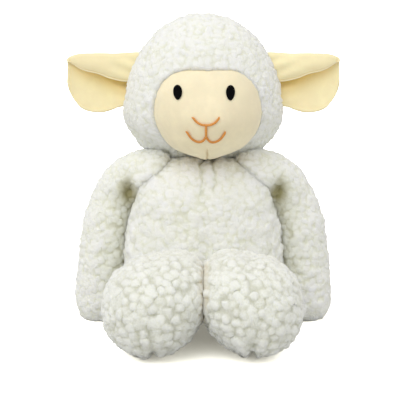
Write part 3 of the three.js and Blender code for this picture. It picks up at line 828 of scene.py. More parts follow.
def chin_gathers(points):
    """How deep the gathered cloth under the chin is pulled in."""
    x, z = points[:, 0], points[:, 2]
    ahead = smooth_step(*PLEAT_AHEAD, points[:, 1])
    near_neck = smooth_step(*PLEAT_HEIGHTS, z)
    sway = unevenness(points, PLEAT_SWAY_STEP) * PLEAT_SWAY
    pleats = np.zeros(len(points))
    for beside, spread, deep in PLEATS:
        fan = beside * (1 + (PLEAT_FAN_HEIGHT - z) * PLEAT_FAN)
        pleats += deep * bell(x + sway - fan, spread)
    return PLEAT_DEPTH * pleats * near_neck * ahead


def armpit(points, side):
    """How deep the fleece is drawn in where an arm leaves the torso."""
    ahead = hinge("left_arm_swing").y - ARMPIT_AHEAD
    away = (points - np.array((side * ARMPIT_BESIDE, ahead, ARMPIT_HEIGHT))) / np.array(ARMPIT_SPREAD)
    return ARMPIT_DEPTH * np.exp(-np.sum(away**2, axis=1))


class SHEEP_OT_torso(Operator):
    """Stuffed torso in curly fleece, gathered under the chin"""

    bl_idname = "sheep.torso"
    bl_label = "Torso"

    def execute(self, context):
        fleece = context.scene.sheep_fleece
        piece = shaped_ball("torso_fleece", *FORM_GRID, torso_place)
        stuffed(piece, fleece.voxel * TORSO_CLOTH_STEP, torso_seams, SOFT_SWELL)
        subdivided(piece, PILE_LEVELS)
        points = points_of(piece.data)
        seam = MIDDLE_SEAM_DEPTH * bell(points[:, 0], MIDDLE_SEAM_SPREAD)
        seam *= smooth_step(*MIDDLE_SEAM_AHEAD, points[:, 1])
        seam *= smooth_step(*MIDDLE_SEAM_HEIGHTS, points[:, 2])
        pits = armpit(points, LEFT) + armpit(points, RIGHT)
        lumps = unevenness(points, LUMP_STEP)
        lumps *= LUMP_DEPTH * smooth_step(*LUMPS_BESIDE, np.abs(points[:, 0]))
        sink = chin_gathers(points) + seam + pits + lumps
        width = np.full(len(points), fleece.body_curl)
        grow_pile(piece, width, fleece.seed, fleece.curl_depth * TORSO_PILE, sink, shade_power=SOFT_SHADE)
        dress(piece, curly_fleece())
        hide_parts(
            "body_front_left", "body_front_right", "body_back", "body_base",
            "body_padding", "seat_bean_bag",
        )
        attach(piece, "torso")
        return {"FINISHED"}


# Head and face

# The chin draws back from here on, and the throat rises by this share of it
CHIN_ANGLE = math.pi / 3
CHIN_LIFT = 0.24
# How full the head is towards its sides, above its middle and below it
CROWN_SQUARENESS = 2.05
THROAT_SQUARENESS = 1.88
CROWN_SEAM_PULL = 0.5
HEAD_PILE = 0.85
FACE_GRID = (160, 120)
FACE_SQUARENESS = 2.3
FACE_BACK_SHARE = 0.4
# The pile laps over the face by these, at this share of the face's reach. It does so less at the brow.
LAP_INWARD = 0.0016
LAP_AHEAD = 0.0026
LAP_PLACE = 1.02
LAP_SPREAD = 0.05
BROW_LAP_LOSS = 0.4
BROW_EDGE_SHIFT = 0.055
# Between these shares of the face's reach the hood dips under the face, this deep, which also paints shade
# there
UNDER_FACE = (0.965, 0.87)
UNDER_FACE_DEPTH = 0.007
# How far round it each stitched place pulls the cloth in, and how deep
EYE_DIP_SPREAD = 0.0065
NOSE_DIP_SPREAD = 0.011
LIP_DIP_SPREAD = 0.009
MOUTH_END_DIP_SPREAD = 0.006
STITCH_DIP = 0.0007
MOUTH_END_RISE = 0.003
# Dart under the mouth: from where above the chin to where it is deepest, and its sway
DART_TOP = 0.0185
DART_FULL = 0.010
DART_SWAY = 0.0004
DART_SWAY_TURNS = 900
GROOVE_SPREAD = 0.0008
GROOVE_DEPTH = 0.0011
PUCKER_SPREAD = 0.006
PUCKER_DEPTH = 0.0006
# Soft swells of the face: step and height of the wide ones and of the small ones
WIDE_SWELLS = (0.024, 0.0006)
SMALL_SWELLS = (0.009, 0.00015)
# How strong the painted shade is in the dart, and under the jaw near the face's edge
DART_SHADE = 0.8
JAW_SHADE = 0.6
JAW_SHADE_PLACE = (0.945, 0.985)


def head_place(co):
    """An egg with its long end up: four reaches joined by quarter ellipses."""
    forms = bpy.context.scene.sheep_forms
    middle = hinge("head_nod")
    angle = math.atan2(co.z, -co.y)
    level = forms.head_front if math.cos(angle) > 0 else forms.head_back
    upright = forms.crown_rise if math.sin(angle) > 0 else forms.throat_drop
    if math.cos(angle) > 0 > math.sin(angle):
        level *= 1 - forms.chin_setback * float(smooth_step(0, CHIN_ANGLE, -angle))
        lift = float(smooth_step(math.pi / 2, CHIN_ANGLE, -angle))
        upright *= 1 - CHIN_LIFT * forms.chin_setback * lift
    reach = 1 / math.hypot(math.cos(angle) / level, math.sin(angle) / upright) - forms.inset
    swell = rounded_end(co.x, CROWN_SQUARENESS if co.z > 0 else THROAT_SQUARENESS) * reach
    return Vector((
        co.x * (forms.head_width / 2 - forms.inset),
        middle.y - math.cos(angle) * swell,
        middle.z + math.sin(angle) * swell,
    ))


def face_middle():
    face = bpy.context.scene.sheep_face
    middle = hinge("head_nod")
    return Vector((face.shift, middle.y - face.root, middle.z + face.rise))


def face_outline(angle):
    """Reach of the face at an angle seen from the front, 0 to the side and a quarter turn up."""
    face = bpy.context.scene.sheep_face
    upward = math.sin(angle) > 0
    quarter = abs(math.asin(math.sin(angle))) / (math.pi / 2)
    base = blend_value(face.half_width, face.top if upward else face.bottom, quarter)
    corner = max(0.0, -math.cos(angle)) * max(0.0, math.sin(angle))
    base *= 1 + 2 * face.corner_fullness * corner
    return base * share_at(BROW_OUTLINE_SHARES if upward else JAW_OUTLINE_SHARES, quarter)


def face_share(x, z):
    """How far out on the face a place seen from the front lies, 1 at its outline."""
    middle = face_middle()
    dx, dz = x - middle.x, z - middle.z
    return math.hypot(dx, dz) / face_outline(math.atan2(dz, dx))


def muzzle_swell(x, z):
    """How far the muzzle stands out from the dome, fullest beside the nose."""
    face = bpy.context.scene.sheep_face
    middle = face_middle()
    away = math.hypot(x - middle.x - face.muzzle_shift, z - middle.z + face.muzzle_drop)
    inside = max(0.0, 1 - face_share(x, z) ** 2)
    return face.muzzle * inside * math.exp(-((away / face.muzzle_spread) ** 2))


def face_front_at(x, z):
    """The front of the face's cloth at a place seen from the front."""
    face = bpy.context.scene.sheep_face
    dome = (face.proud - face.root) * rounded_end(face_share(x, z), FACE_SQUARENESS)
    return face_middle().y - dome - muzzle_swell(x, z)


def face_place(co):
    """A dome on the face's outline, with the muzzle on its front and a flatter back."""
    face = bpy.context.scene.sheep_face
    middle = face_middle()
    angle = math.atan2(co.z, co.x)
    pole = -co.y
    spread = rounded_end(pole, FACE_SQUARENESS) * face_outline(angle)
    depth = (face.proud - face.root) if pole > 0 else face.root * FACE_BACK_SHARE
    x, z = middle.x + math.cos(angle) * spread, middle.z + math.sin(angle) * spread
    swell = muzzle_swell(x, z) if pole > 0 else 0.0
    return Vector((x, middle.y - pole * depth - swell, z))


def head_seams(points):
    """Held at the seam that runs from the crown down to the nape."""
    return CROWN_SEAM_PULL * bell(points[:, 0], SEAM_SPREAD) * (points[:, 1] > hinge("head_nod").y)


def lap_over_face(piece, near_edge):
    """Leans the pile beside the face forward and over the edge of its cloth."""
    points = points_of(piece.data)
    inward = np.array(face_middle()) - points
    inward[:, 1] = 0
    inward /= np.maximum(np.linalg.norm(inward, axis=1), 1e-6)[:, None]
    points += inward * (LAP_INWARD * near_edge)[:, None]
    points[:, 1] -= LAP_AHEAD * near_edge
    move_points(piece.data, points)


class SHEEP_OT_head(Operator):
    """Fleece hood over the stuffed head, with its pile lapping over the edge of the face"""

    bl_idname = "sheep.head"
    bl_label = "Head"

    def execute(self, context):
        fleece = context.scene.sheep_fleece
        piece = shaped_ball("head_fleece", *FORM_GRID, head_place)
        stuffed(piece, fleece.voxel, head_seams, FIRM_SWELL)
        subdivided(piece, PILE_LEVELS)
        points = points_of(piece.data)
        middle = face_middle()
        front = points[:, 1] < middle.y
        out = np.array([face_share(x, z) for x, z in points[:, [0, 2]]])
        upward = points[:, 2] - middle.z
        brow = np.clip(upward / np.maximum(np.hypot(points[:, 0] - middle.x, upward), 1e-6), 0, 1)
        edge = out + BROW_EDGE_SHIFT * brow
        under = front * smooth_step(*UNDER_FACE, edge)
        width = np.full(len(points), fleece.head_curl)
        grow_pile(
            piece, width, fleece.seed + HEAD_SCATTER, fleece.curl_depth * HEAD_PILE,
            under * UNDER_FACE_DEPTH, under, SOFT_SHADE,
        )
        lap_over_face(piece, front * bell(edge - LAP_PLACE, LAP_SPREAD) * (1 - BROW_LAP_LOSS * brow))
        dress(piece, curly_fleece())
        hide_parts("head_hood", "head_padding")
        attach(piece, "head")
        return {"FINISHED"}


def stitched_spots():
    """Places on the face where thread pulls the cloth in."""
    face = bpy.context.scene.sheep_face
    head = hinge("head_nod")
    lip_top = head.z + face.nose_rise - face.nose_drop
    mouth = lip_top - face.lip_length
    spots = [
        (face.eye_shift + side * face.eye_spacing / 2, head.z + face.eye_rise, EYE_DIP_SPREAD)
        for side in (LEFT, RIGHT)
    ]
    spots += [(face.nose_shift, lip_top, NOSE_DIP_SPREAD), (face.nose_shift, mouth, LIP_DIP_SPREAD)]
    for side in (RIGHT, LEFT):
        end = face.nose_shift + side * face.mouth_width / 2
        spots.append((end, mouth + MOUTH_END_RISE, MOUTH_END_DIP_SPREAD))
    return spots


def face_relief(point):
    """How far the face's cloth is pulled in at a place, and how strong the painted shade in its dart is."""
    face = bpy.context.scene.sheep_face
    middle = face_middle()
    dip = 0.0
    for x, z, spread in stitched_spots():
        away = math.hypot(point.x - x, point.z - z)
        dip += STITCH_DIP * math.exp(-((away / spread) ** 2))
    chin = middle.z - face.bottom
    dart = float(smooth_step(chin + DART_TOP, chin + DART_FULL, point.z)) * float(point.y < middle.y)
    line = abs(point.x - face.shift + DART_SWAY * math.sin(point.z * DART_SWAY_TURNS))
    groove = dart * math.exp(-((line / GROOVE_SPREAD) ** 2))
    pucker = dart * math.exp(-((line / PUCKER_SPREAD) ** 2))
    soft = sum(noise.noise(point / step) * height for step, height in (WIDE_SWELLS, SMALL_SWELLS))
    return dip + GROOVE_DEPTH * groove + PUCKER_DEPTH * pucker + soft, groove


class SHEEP_OT_face(Operator):
    """Velvety face panel, drawn in by its stitching and by a dart under the mouth"""

    bl_idname = "sheep.face"
    bl_label = "Face"

    def execute(self, context):
        fleece = context.scene.sheep_fleece
        piece = shaped_ball("face_cloth", *FACE_GRID, face_place)
        mesh = piece.data
        points, normals = points_of(mesh), normals_of(mesh)
        relief = [face_relief(Vector(point)) for point in points]
        dips = np.array([dip for dip, _ in relief])
        move_points(mesh, points - normals * dips[:, None])
        rim = np.array([face_share(x, z) for x, z in points[:, [0, 2]]])
        # Painted shade in the dart and under the jaw along the face's edge
        dart_shade = DART_SHADE * np.array([groove for _, groove in relief])
        jaw_shade = JAW_SHADE * smooth_step(*JAW_SHADE_PLACE, rim) * (points[:, 2] < face_middle().z)
        store(mesh, "crease_shade", np.clip(dart_shade + jaw_shade, 0, 1))
        store_places(mesh)
        shade_smooth(piece)
        made = material("face_velvet", velvet_material, tuple(fleece.face), tuple(fleece.face_crease))
        dress(piece, made)
        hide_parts("face_panel")
        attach(piece, "head")
        return {"FINISHED"}


# Stitching

EYE_GRID = (48, 96)
# An eye is fuller at its top and slimmer at both ends
EYE_TOP_FULLNESS = 0.14
EYE_END_SLIMNESS = 0.06
EYE_PAD_HEIGHT = 0.0009
EYE_SUNK = 0.0006
EYE_ROWS = 17
EYE_ROW_HEIGHT = 0.00009
# One stitch of a line, in shares of the thread's width
STITCH_GRID = (8, 6)
STITCH_RADIUS = 0.36
STITCH_HALF_RUN = 0.62
STITCH_HEIGHT = 0.16
STITCH_ARCH = 0.35
STITCH_OVERLAP = 0.62
STITCH_SPACING = 0.5
# How far a stitch runs along its line and across it
STITCH_SLANT = (0.85, 0.55)
LINE_STEPS = 24
# How sharply the nose bow turns up at its ends
BOW_POWER = 2.6


def eye_piece(name, side):
    """An oval of satin stitch: rows of thread laid side by side over a raised pad."""
    face, fleece = bpy.context.scene.sheep_face, bpy.context.scene.sheep_fleece
    head = hinge("head_nod")
    centre = Vector((face.eye_shift + side * face.eye_spacing / 2, 0, head.z + face.eye_rise))
    columns, rows = EYE_GRID
    form = bmesh.new()
    bmesh.ops.create_uvsphere(form, u_segments=columns, v_segments=rows, radius=1.0)
    for vert in form.verts:
        co = vert.co.copy()
        taper = 1 + EYE_TOP_FULLNESS * co.z - EYE_END_SLIMNESS * co.z * co.z
        x = centre.x + co.x * face.eye_width / 2 * taper
        z = centre.z + co.z * face.eye_height / 2
        ridge = EYE_ROW_HEIGHT * math.cos(co.z * math.pi * EYE_ROWS)
        lift = EYE_PAD_HEIGHT * math.sqrt(-co.y) + ridge if co.y < 0 else -EYE_SUNK
        vert.co = Vector((x, face_front_at(x, z) - lift, z))
    bmesh.ops.recalc_face_normals(form, faces=form.faces)
    piece = new_piece(name, form)
    store_places(piece.data)
    shade_smooth(piece)
    made = material("eye_stitches", thread_material, tuple(fleece.black), EYE_STRANDS, EYE_GLOSS)
    dress(piece, made)
    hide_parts(f"eye_{SIDE_NAMES[side]}")
    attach(piece, "head")


def stitch(form, start, end, outward, radius):
    """One stitch: a slim bead from start to end, a little arched."""
    along = end - start
    turn = along.to_track_quat("Z", "Y").to_matrix().to_4x4()
    place = Matrix.Translation((start + end) / 2 + outward * radius * STITCH_ARCH) @ turn
    size = Matrix.Diagonal((radius, radius, along.length * STITCH_OVERLAP, 1))
    columns, rows = STITCH_GRID
    bmesh.ops.create_uvsphere(form, u_segments=columns, v_segments=rows, radius=1.0, matrix=place @ size)


def stitched_line(form, places, width):
    """A line of slanted stitches over the face, through places seen from the front."""
    steps = len(places) * LINE_STEPS
    across_shares, up_shares = zip(*places)
    fine = []
    for i in range(steps):
        t = i / (steps - 1)
        fine.append(Vector((share_at(across_shares, t), 0, share_at(up_shares, t))))
    run = np.concatenate(([0], np.cumsum([(b - a).length for a, b in zip(fine, fine[1:])])))
    count = max(2, round(run[-1] / (width * STITCH_SPACING)))
    for k in range(count):
        middle = run[-1] * (k + 0.5) / count
        i = min(int(np.searchsorted(run, middle)), len(fine) - 2)
        ahead = (fine[i + 1] - fine[max(0, i - 1)]).normalized()
        across = Vector((-ahead.z, 0, ahead.x))
        slant = (ahead * STITCH_SLANT[0] + across * STITCH_SLANT[1]).normalized()
        ends = []
        for way in (-1, 1):
            spot = fine[i] + slant * (way * width * STITCH_HALF_RUN)
            spot.y = face_front_at(spot.x, spot.z) - width * STITCH_HEIGHT
            ends.append(spot)
        stitch(form, *ends, Vector((0, -1, 0)), width * STITCH_RADIUS)


class SHEEP_OT_stitching(Operator):
    """Satin-stitched eyes, and the nose and mouth in a stitched line"""

    bl_idname = "sheep.stitching"
    bl_label = "Eyes, Nose and Mouth"

    def execute(self, context):
        face, fleece = context.scene.sheep_face, context.scene.sheep_fleece
        for side in (LEFT, RIGHT):
            eye_piece(f"eye_{SIDE_NAMES[side]}_stitching", side)
        head = hinge("head_nod")
        lip_top = head.z + face.nose_rise - face.nose_drop
        mouth = lip_top - face.lip_length
        bow = [
            (face.nose_shift + s * face.nose_width / 2, lip_top + face.nose_drop * abs(s) ** BOW_POWER)
            for s in BOW_SHARES
        ]
        lip = [(face.nose_shift, lip_top - face.lip_length * s) for s in (0, 0.5, 1)]
        nose = bmesh.new()
        stitched_line(nose, bow, face.thread)
        stitched_line(nose, lip, face.thread)
        smile = bmesh.new()
        for side in (LEFT, RIGHT):
            line = [
                (face.nose_shift + side * out * face.mouth_width / 2, mouth - face.mouth_sag * sag)
                for out, sag in zip(SMILE_OUT_SHARES, SMILE_SAG_SHARES)
            ]
            stitched_line(smile, line, face.thread)
        made = material("smile_stitches", thread_material, tuple(fleece.tan), MOUTH_STRANDS, MOUTH_GLOSS)
        for name, form, node in (
            ("nose_stitching", nose, "nose_embroidery"), ("mouth_stitching", smile, "mouth_embroidery"),
        ):
            piece = new_piece(name, form)
            store_places(piece.data)
            shade_smooth(piece)
            dress(piece, made)
            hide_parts(node)
            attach(piece, "head")
        return {"FINISHED"}


# Ears

EAR_GRID = (56, 64)
# Rows of the ear's mesh lie closer together towards its tip
EAR_ROW_POWER = 1.25
# Across the cloth, from the lower edge: where it turns over, and where the flap begins
FOLD_START = 0.5
FLAP_START = 0.68
# The fold gets this much shallower from here to the tip, and the flap's edge stays this far below it
FOLD_TAPER = 0.5
FOLD_TAPER_START = 0.9
FLAP_GAP = 0.001
TIP_INSET_SHARE = 0.3
# The lower half bellies back and the flap puffs ahead, over these runs of its length
BELLY_DEPTH = 0.0016
BELLY_RUN = 1.1
PUFF_DEPTH = 0.0018
PUFF_RUN = 1.05
# The lower edge curls forward most in the middle of its own run
CUP_GROWTH = 4
CUP_RUN = 1.1
# Shade in the fold: its reach below the flap's edge, how it falls off, and how it grows from the tip
FLAP_SHADE_REACH = 0.010
FLAP_SHADE_POWER = 1.5
FLAP_SHADE_AT_TIP = 0.35
FLAP_SHADE_GROWTH = 1.3
FLAP_SHADE_END = 12
FLAP_SHADE = 0.75
# Only where the cloth faces ahead, between these values of its normal
FACING_AHEAD = (0.1, -0.4)
# Pleats that fan out from the root: their reach, height, slope and how close they are, then unevenness
EAR_PLEAT_REACH = 0.024
EAR_PLEAT_HEIGHT = 0.0007
EAR_PLEAT_SLOPE = 0.35
EAR_PLEAT_TURNS = 520
EAR_SWELL_STEP = 0.016
EAR_SWELL_HEIGHT = 0.0008
# Lengths from the ear's edges, as shares of its height: across from below and above, and from the tip
EDGE_SHARES = (1.6, 1.9, 1.3)
# Welt: a groove and a bead along the edge, each with its place, spread and height
WELT_GROOVE = (0.0030, 0.0007, 0.00045)
WELT_BEAD = (0.0012, 0.0010, 0.00060)
# Painted shade in the groove: its place, spread and strength; then the edging's spread
GROOVE_SHADE = (0.0030, 0.0006, 0.45)
EDGING_SPREAD = 0.0022
# How much of the welt and of its painted shade is left below the fold, and where the flap counts as begun
WELT_BELOW = 0.25
SHADE_BELOW = 0.15
ON_FLAP = (0.6, 0.8)


def ear_point(across, along):
    """A point of the left ear's cloth: across from its lower edge over the fold to the flap's edge."""
    face = bpy.context.scene.sheep_face
    head = hinge("head_nod")
    tip = cad_box[1].x
    steps = EAR_PLACE_SHARES
    share_place = float(np.interp(along, steps, np.linspace(0, 1, len(steps))))
    top = head.z + face.ear_top_rise
    depth = blend_value(face.ear_fold, face.ear_tip_fold, along) - face.ear_thickness
    depth *= 1 - FOLD_TAPER * float(smooth_step(FOLD_TAPER_START, 1, along))
    radius = depth / 2
    fold_z = top - face.ear_height * share_at(EAR_TOP_SHARES, share_place) - radius - face.ear_thickness / 2
    bottom_z = top - face.ear_height * share_at(EAR_BOTTOM_SHARES, share_place)
    flap_z = min(top - face.ear_height * share_at(EAR_FLAP_SHARES, share_place), fold_z - FLAP_GAP)
    back_y = head.y + face.ear_setback + radius
    x = tip - face.ear_thickness * TIP_INSET_SHARE - face.ear_length * (1 - along)
    if across < FOLD_START:
        t = across / FOLD_START
        curl = face.ear_cup * (1 - t) ** 2 * min(1.0, CUP_GROWTH * along * (CUP_RUN - along))
        belly = BELLY_DEPTH * math.sin(math.pi * t) * math.sin(math.pi * min(1, along * BELLY_RUN))
        return Vector((x, back_y - curl + belly, blend_value(bottom_z, fold_z, t)))
    if across < FLAP_START:
        angle = math.pi * (across - FOLD_START) / (FLAP_START - FOLD_START)
        return Vector((x, back_y - radius + radius * math.cos(angle), fold_z + radius * math.sin(angle)))
    t = (across - FLAP_START) / (1 - FLAP_START)
    puff = PUFF_DEPTH * math.sin(math.pi * t) * math.sin(math.pi * min(1, along * PUFF_RUN))
    return Vector((x, back_y - 2 * radius - puff, blend_value(fold_z, flap_z, t)))


def under_flap_share(across, along):
    """How deep in the fold a point of the ear's inside lies, below the free edge of the flap: how strong the
    painted shade is there.
    """
    if across >= FOLD_START:
        return 0.0
    drop = max(0.0, (ear_point(1.0, along).z - ear_point(across, along).z) / FLAP_SHADE_REACH)
    from_tip = min(1.0, FLAP_SHADE_AT_TIP + FLAP_SHADE_GROWTH * (1 - along))
    return math.exp(-(drop**FLAP_SHADE_POWER)) * from_tip * min(1.0, FLAP_SHADE_END * (1 - along))


def ear_wrinkles(points, root_x):
    """Soft pleats that run out from the ear's seam, and faint unevenness."""
    near_root = smooth_step(root_x + EAR_PLEAT_REACH, root_x, points[:, 0])
    fan = np.sin((points[:, 2] - points[:, 0] * EAR_PLEAT_SLOPE) * EAR_PLEAT_TURNS) * near_root
    return fan * EAR_PLEAT_HEIGHT + unevenness(points, EAR_SWELL_STEP) * EAR_SWELL_HEIGHT


def along_edge(edge, place, spread, height):
    """A ridge that keeps its place beside the ear's edge."""
    return height * bell(edge - place, spread)


def ear_piece(name):
    """The left ear: one folded sheet with a welt along its sewn edge."""
    face = bpy.context.scene.sheep_face
    columns, rows = EAR_GRID
    form = bmesh.new()
    bmesh.ops.create_grid(form, x_segments=columns, y_segments=rows, size=1.0)
    rim_layer = form.verts.layers.float.new("rim")
    flap_layer = form.verts.layers.float.new("flap")
    tuck_layer = form.verts.layers.float.new("tuck")
    for vert in form.verts:
        across = (vert.co.x + 1) / 2
        along = 1 - (1 - (vert.co.y + 1) / 2) ** EAR_ROW_POWER
        vert.co = ear_point(across, along)
        reaches = (across, 1 - across, 1 - along)
        vert[rim_layer] = face.ear_height * min(share * reach for share, reach in zip(EDGE_SHARES, reaches))
        vert[flap_layer] = across
        vert[tuck_layer] = under_flap_share(across, along)
    bmesh.ops.recalc_face_normals(form, faces=form.faces)
    piece = new_piece(name, form)
    wall = piece.modifiers.new("Cloth", "SOLIDIFY")
    wall.thickness = face.ear_thickness
    wall.offset = 0.0
    wall.use_even_offset = True
    finished_mesh(piece)
    subdivided(piece, 1)
    mesh = piece.data
    points, normals = points_of(mesh), normals_of(mesh)
    edge = stored(mesh, "rim")
    on_flap = smooth_step(*ON_FLAP, stored(mesh, "flap"))
    welt = along_edge(edge, *WELT_GROOVE) - along_edge(edge, *WELT_BEAD)
    welt *= WELT_BELOW + (1 - WELT_BELOW) * on_flap
    wrinkles = ear_wrinkles(points, hinge("left_ear_swing").x)
    move_points(mesh, points + normals * (wrinkles - welt)[:, None])
    # Painted shade in the welt's groove and under the flap
    hollow_shade = along_edge(edge, *GROOVE_SHADE) * (SHADE_BELOW + (1 - SHADE_BELOW) * on_flap)
    under_flap_shade = stored(mesh, "tuck") * smooth_step(*FACING_AHEAD, normals[:, 1])
    store(mesh, "crease_shade", np.clip(hollow_shade + FLAP_SHADE * under_flap_shade, 0, 1))
    store(mesh, "edging", bell(edge, EDGING_SPREAD) * on_flap)
    for layer in ("rim", "flap", "tuck"):
        mesh.attributes.remove(mesh.attributes[layer])
    return piece


class SHEEP_OT_ears(Operator):
    """Ears of two velvety cloths, folded forward along the top, sewn to the hood at their roots"""

    bl_idname = "sheep.ears"
    bl_label = "Ears"

    def execute(self, context):
        fleece = context.scene.sheep_fleece
        made = material("ear_velvet", velvet_material, tuple(fleece.ear), tuple(fleece.ear_crease))
        left = ear_piece("ear_left_cloth")
        right = mirrored(left, "ear_right_cloth")
        for side, piece in ((LEFT, left), (RIGHT, right)):
            store_places(piece.data)
            shade_smooth(piece)
            dress(piece, made)
            word = SIDE_NAMES[side]
            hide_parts(f"ear_{word}_back", f"ear_{word}_front")
            seam = hinge(f"{word}_ear_swing")
            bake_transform(piece)
        return {"FINISHED"}


# Arms, legs and tail

ARM_GRID = (40, 48)
LEG_GRID = (56, 56)
TAIL_GRID = (32, 28)
ROUTE_STEPS = 48
# Share of a route over which its heading is taken, and over which a form's fullness sets in
HEADING_STEP = 0.02
FULLNESS_STEP = 0.1
# How full a limb is towards its ends, and how full above, below and from which share of its length
ARM_SQUARENESS = 7.0
ARM_FULLNESS = (0.02, -0.07, 0.36)
LEG_SQUARENESS = 2.6
LEG_FULLNESS = (0.23, 0.12, -0.2)
TAIL_SQUARENESS = 2.0
# An arm starts this far ahead of its shoulder, and is back in line between these shares of its length
ARM_AHEAD = 0.0115
ARM_AHEAD_SHARES = (0.42, 0.10)
ARM_CLOTH_STEP = 0.9
ARM_SEAM_SPREAD = 0.0032
ARM_SEAM_PULL = 0.6
ARM_PILE = 0.85
# Next to the torso the top of an arm comes ahead, so that both pieces run on into each other
BESIDE_REACH = 0.012
BESIDE_AHEAD = 0.0045
BESIDE_HEIGHTS = (0.122, 0.132)
# How far the thigh's route lies above half the thigh's height
THIGH_LIFT = 0.002
# Seam down the sole: beside the middle of the foot, its pull, and its groove in the pile
SOLE_SEAM_INSET = 0.0025
SOLE_SEAM_SPREAD = 0.0034
SOLE_SEAM_PULLS = (0.35, 0.6)
SOLE_SEAM_HEIGHTS = (0.045, 0.01)
SOLE_GROOVE_SPREAD = 0.0032
SOLE_GROOVE_HEIGHTS = (0.034, 0.004)
SOLE_GROOVE_DEPTH = 0.0042
# The curls widen from the thigh to the foot between these places ahead
FOOT_CURLS = (0.02, -0.04)
LEG_PILE = 1.15
LEG_SHADE = 1.4
LEG_FRIZZ = 0.30
TAIL_RADIUS = 0.0095
TAIL_PILE_ROOM = 0.001
# Where the tail starts ahead of its hinge and below its top, and how high its bend is
TAIL_START = (0.004, 0.002)
TAIL_BEND_RISE = 0.004


def along_route(points):
    """A function that gives the place and heading at a share of a route's length."""
    line = np.array(points)
    run = np.concatenate(([0], np.cumsum(np.linalg.norm(np.diff(line, axis=0), axis=1))))
    run /= run[-1]

    def place(amount):
        return Vector([float(np.interp(amount, run, line[:, k])) for k in range(3)])

    def heading(amount):
        return (place(min(1, amount + HEADING_STEP)) - place(max(0, amount - HEADING_STEP))).normalized()

    return place, heading


def stuffed_tube(name, points, sideways, size_at, squareness, grid, fullness=(0.0, 0.0, 0.0)):
    """A round tube along a route, with rounded ends and its own width and height on the way.

    Fullness swells the quarters above and below on the side away from sideways: two shares, and
    from where on they hold. A share below 0 slims.
    """
    place, heading = along_route(points)
    full_above, full_below, full_from = fullness

    def put(co):
        amount = (1 - co.z) / 2
        ahead = heading(amount)
        across = (sideways - ahead * sideways.dot(ahead)).normalized()
        up = ahead.cross(across)
        half_width, half_height = size_at(amount)
        swell = rounded_end(co.z, squareness)
        turn = math.atan2(co.y, co.x)
        lift = math.sin(turn)
        fuller = 2 * (full_above if lift > 0 else full_below) * lift * max(0.0, -math.cos(turn))
        swell *= 1 + fuller * float(smooth_step(full_from - FULLNESS_STEP, full_from + FULLNESS_STEP, amount))
        out = across * (math.cos(turn) * half_width) + up * (math.sin(turn) * half_height)
        return place(amount) + out * swell

    return shaped_ball(name, *grid, put)


def arm_form(name):
    forms = bpy.context.scene.sheep_forms
    shoulder = hinge("left_arm_swing")
    start = shoulder.x - forms.shoulder_inset
    out = forms.torso_width / 2 + forms.hand_spread - start
    route = []
    for i in range(ROUTE_STEPS + 1):
        t = i / ROUTE_STEPS
        drop = (shoulder.z - forms.inset) * share_at(ARM_DROP_SHARES, t)
        ahead = ARM_AHEAD * float(smooth_step(*ARM_AHEAD_SHARES, t))
        route.append((start + out * share_at(ARM_OUT_SHARES, t), shoulder.y - ahead, shoulder.z - drop))

    def size_at(amount):
        swell = share_at(ARM_SWELL_SHARES, amount)
        upper = blend_value(forms.shoulder_radius, forms.wrist_radius, min(1, amount * 2))
        radius = blend_value(upper, forms.hand_radius, swell * amount) - forms.inset
        return radius, radius

    return stuffed_tube(name, route, Vector((0, 1, 0)), size_at, ARM_SQUARENESS, ARM_GRID, ARM_FULLNESS)


def arm_seams(points):
    """Held at the seam between the front and the back of the arm."""
    return ARM_SEAM_PULL * bell(points[:, 1] - hinge("left_arm_swing").y, ARM_SEAM_SPREAD)


class SHEEP_OT_arms(Operator):
    """Arms that hang beside the torso and stand on their hands"""

    bl_idname = "sheep.arms"
    bl_label = "Arms"

    def execute(self, context):
        fleece = context.scene.sheep_fleece
        left = arm_form("arm_left_fleece")
        stuffed(left, fleece.voxel * ARM_CLOTH_STEP, arm_seams, FIRM_SWELL)
        subdivided(left, PILE_LEVELS)
        right = mirrored(left, "arm_right_fleece")
        for side, piece in ((LEFT, left), (RIGHT, right)):
            points = points_of(piece.data)
            beside = nearness(points, bpy.data.objects["torso_fleece"], BESIDE_REACH)
            points[:, 1] -= BESIDE_AHEAD * beside * smooth_step(*BESIDE_HEIGHTS, points[:, 2])
            move_points(piece.data, points)
            width = np.full(len(points), fleece.body_curl)
            scatter = fleece.seed + ARM_SCATTER + side
            grow_pile(piece, width, scatter, fleece.curl_depth * ARM_PILE, armpit(points, side))
            dress(piece, curly_fleece())
            word = SIDE_NAMES[side]
            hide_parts(f"arm_{word}_front", f"arm_{word}_back", f"arm_{word}_padding")
            joint = hinge(f"{word}_arm_swing")
            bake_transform(piece)
        return {"FINISHED"}


def sole_place():
    """How far beside the middle the seam down the sole runs."""
    return bpy.context.scene.sheep_forms.foot_width / 2 - SOLE_SEAM_INSET


def leg_form(name):
    forms = bpy.context.scene.sheep_forms
    hip = hinge("left_leg_swing")
    hip_x = forms.thigh_width / 2
    thigh_z = forms.thigh_height / 2 + THIGH_LIFT
    foot_z = forms.foot_height / 2
    route = []
    for i in range(ROUTE_STEPS + 1):
        t = i / ROUTE_STEPS
        ahead = blend_value(forms.leg_start, forms.leg_reach - forms.inset, share_at(LEG_AHEAD_SHARES, t))
        route.append((
            blend_value(hip_x, sole_place(), share_at(LEG_OUT_SHARES, t)),
            hip.y - ahead,
            blend_value(thigh_z, foot_z, share_at(LEG_LIFT_SHARES, t)),
        ))

    def size_at(amount):
        swell = share_at(LEG_SWELL_SHARES, amount)
        return (
            blend_value(forms.thigh_width, forms.foot_width, swell) / 2 - forms.inset,
            blend_value(forms.thigh_height, forms.foot_height, swell) / 2 - forms.inset,
        )

    return stuffed_tube(name, route, Vector((1, 0, 0)), size_at, LEG_SQUARENESS, LEG_GRID, LEG_FULLNESS)


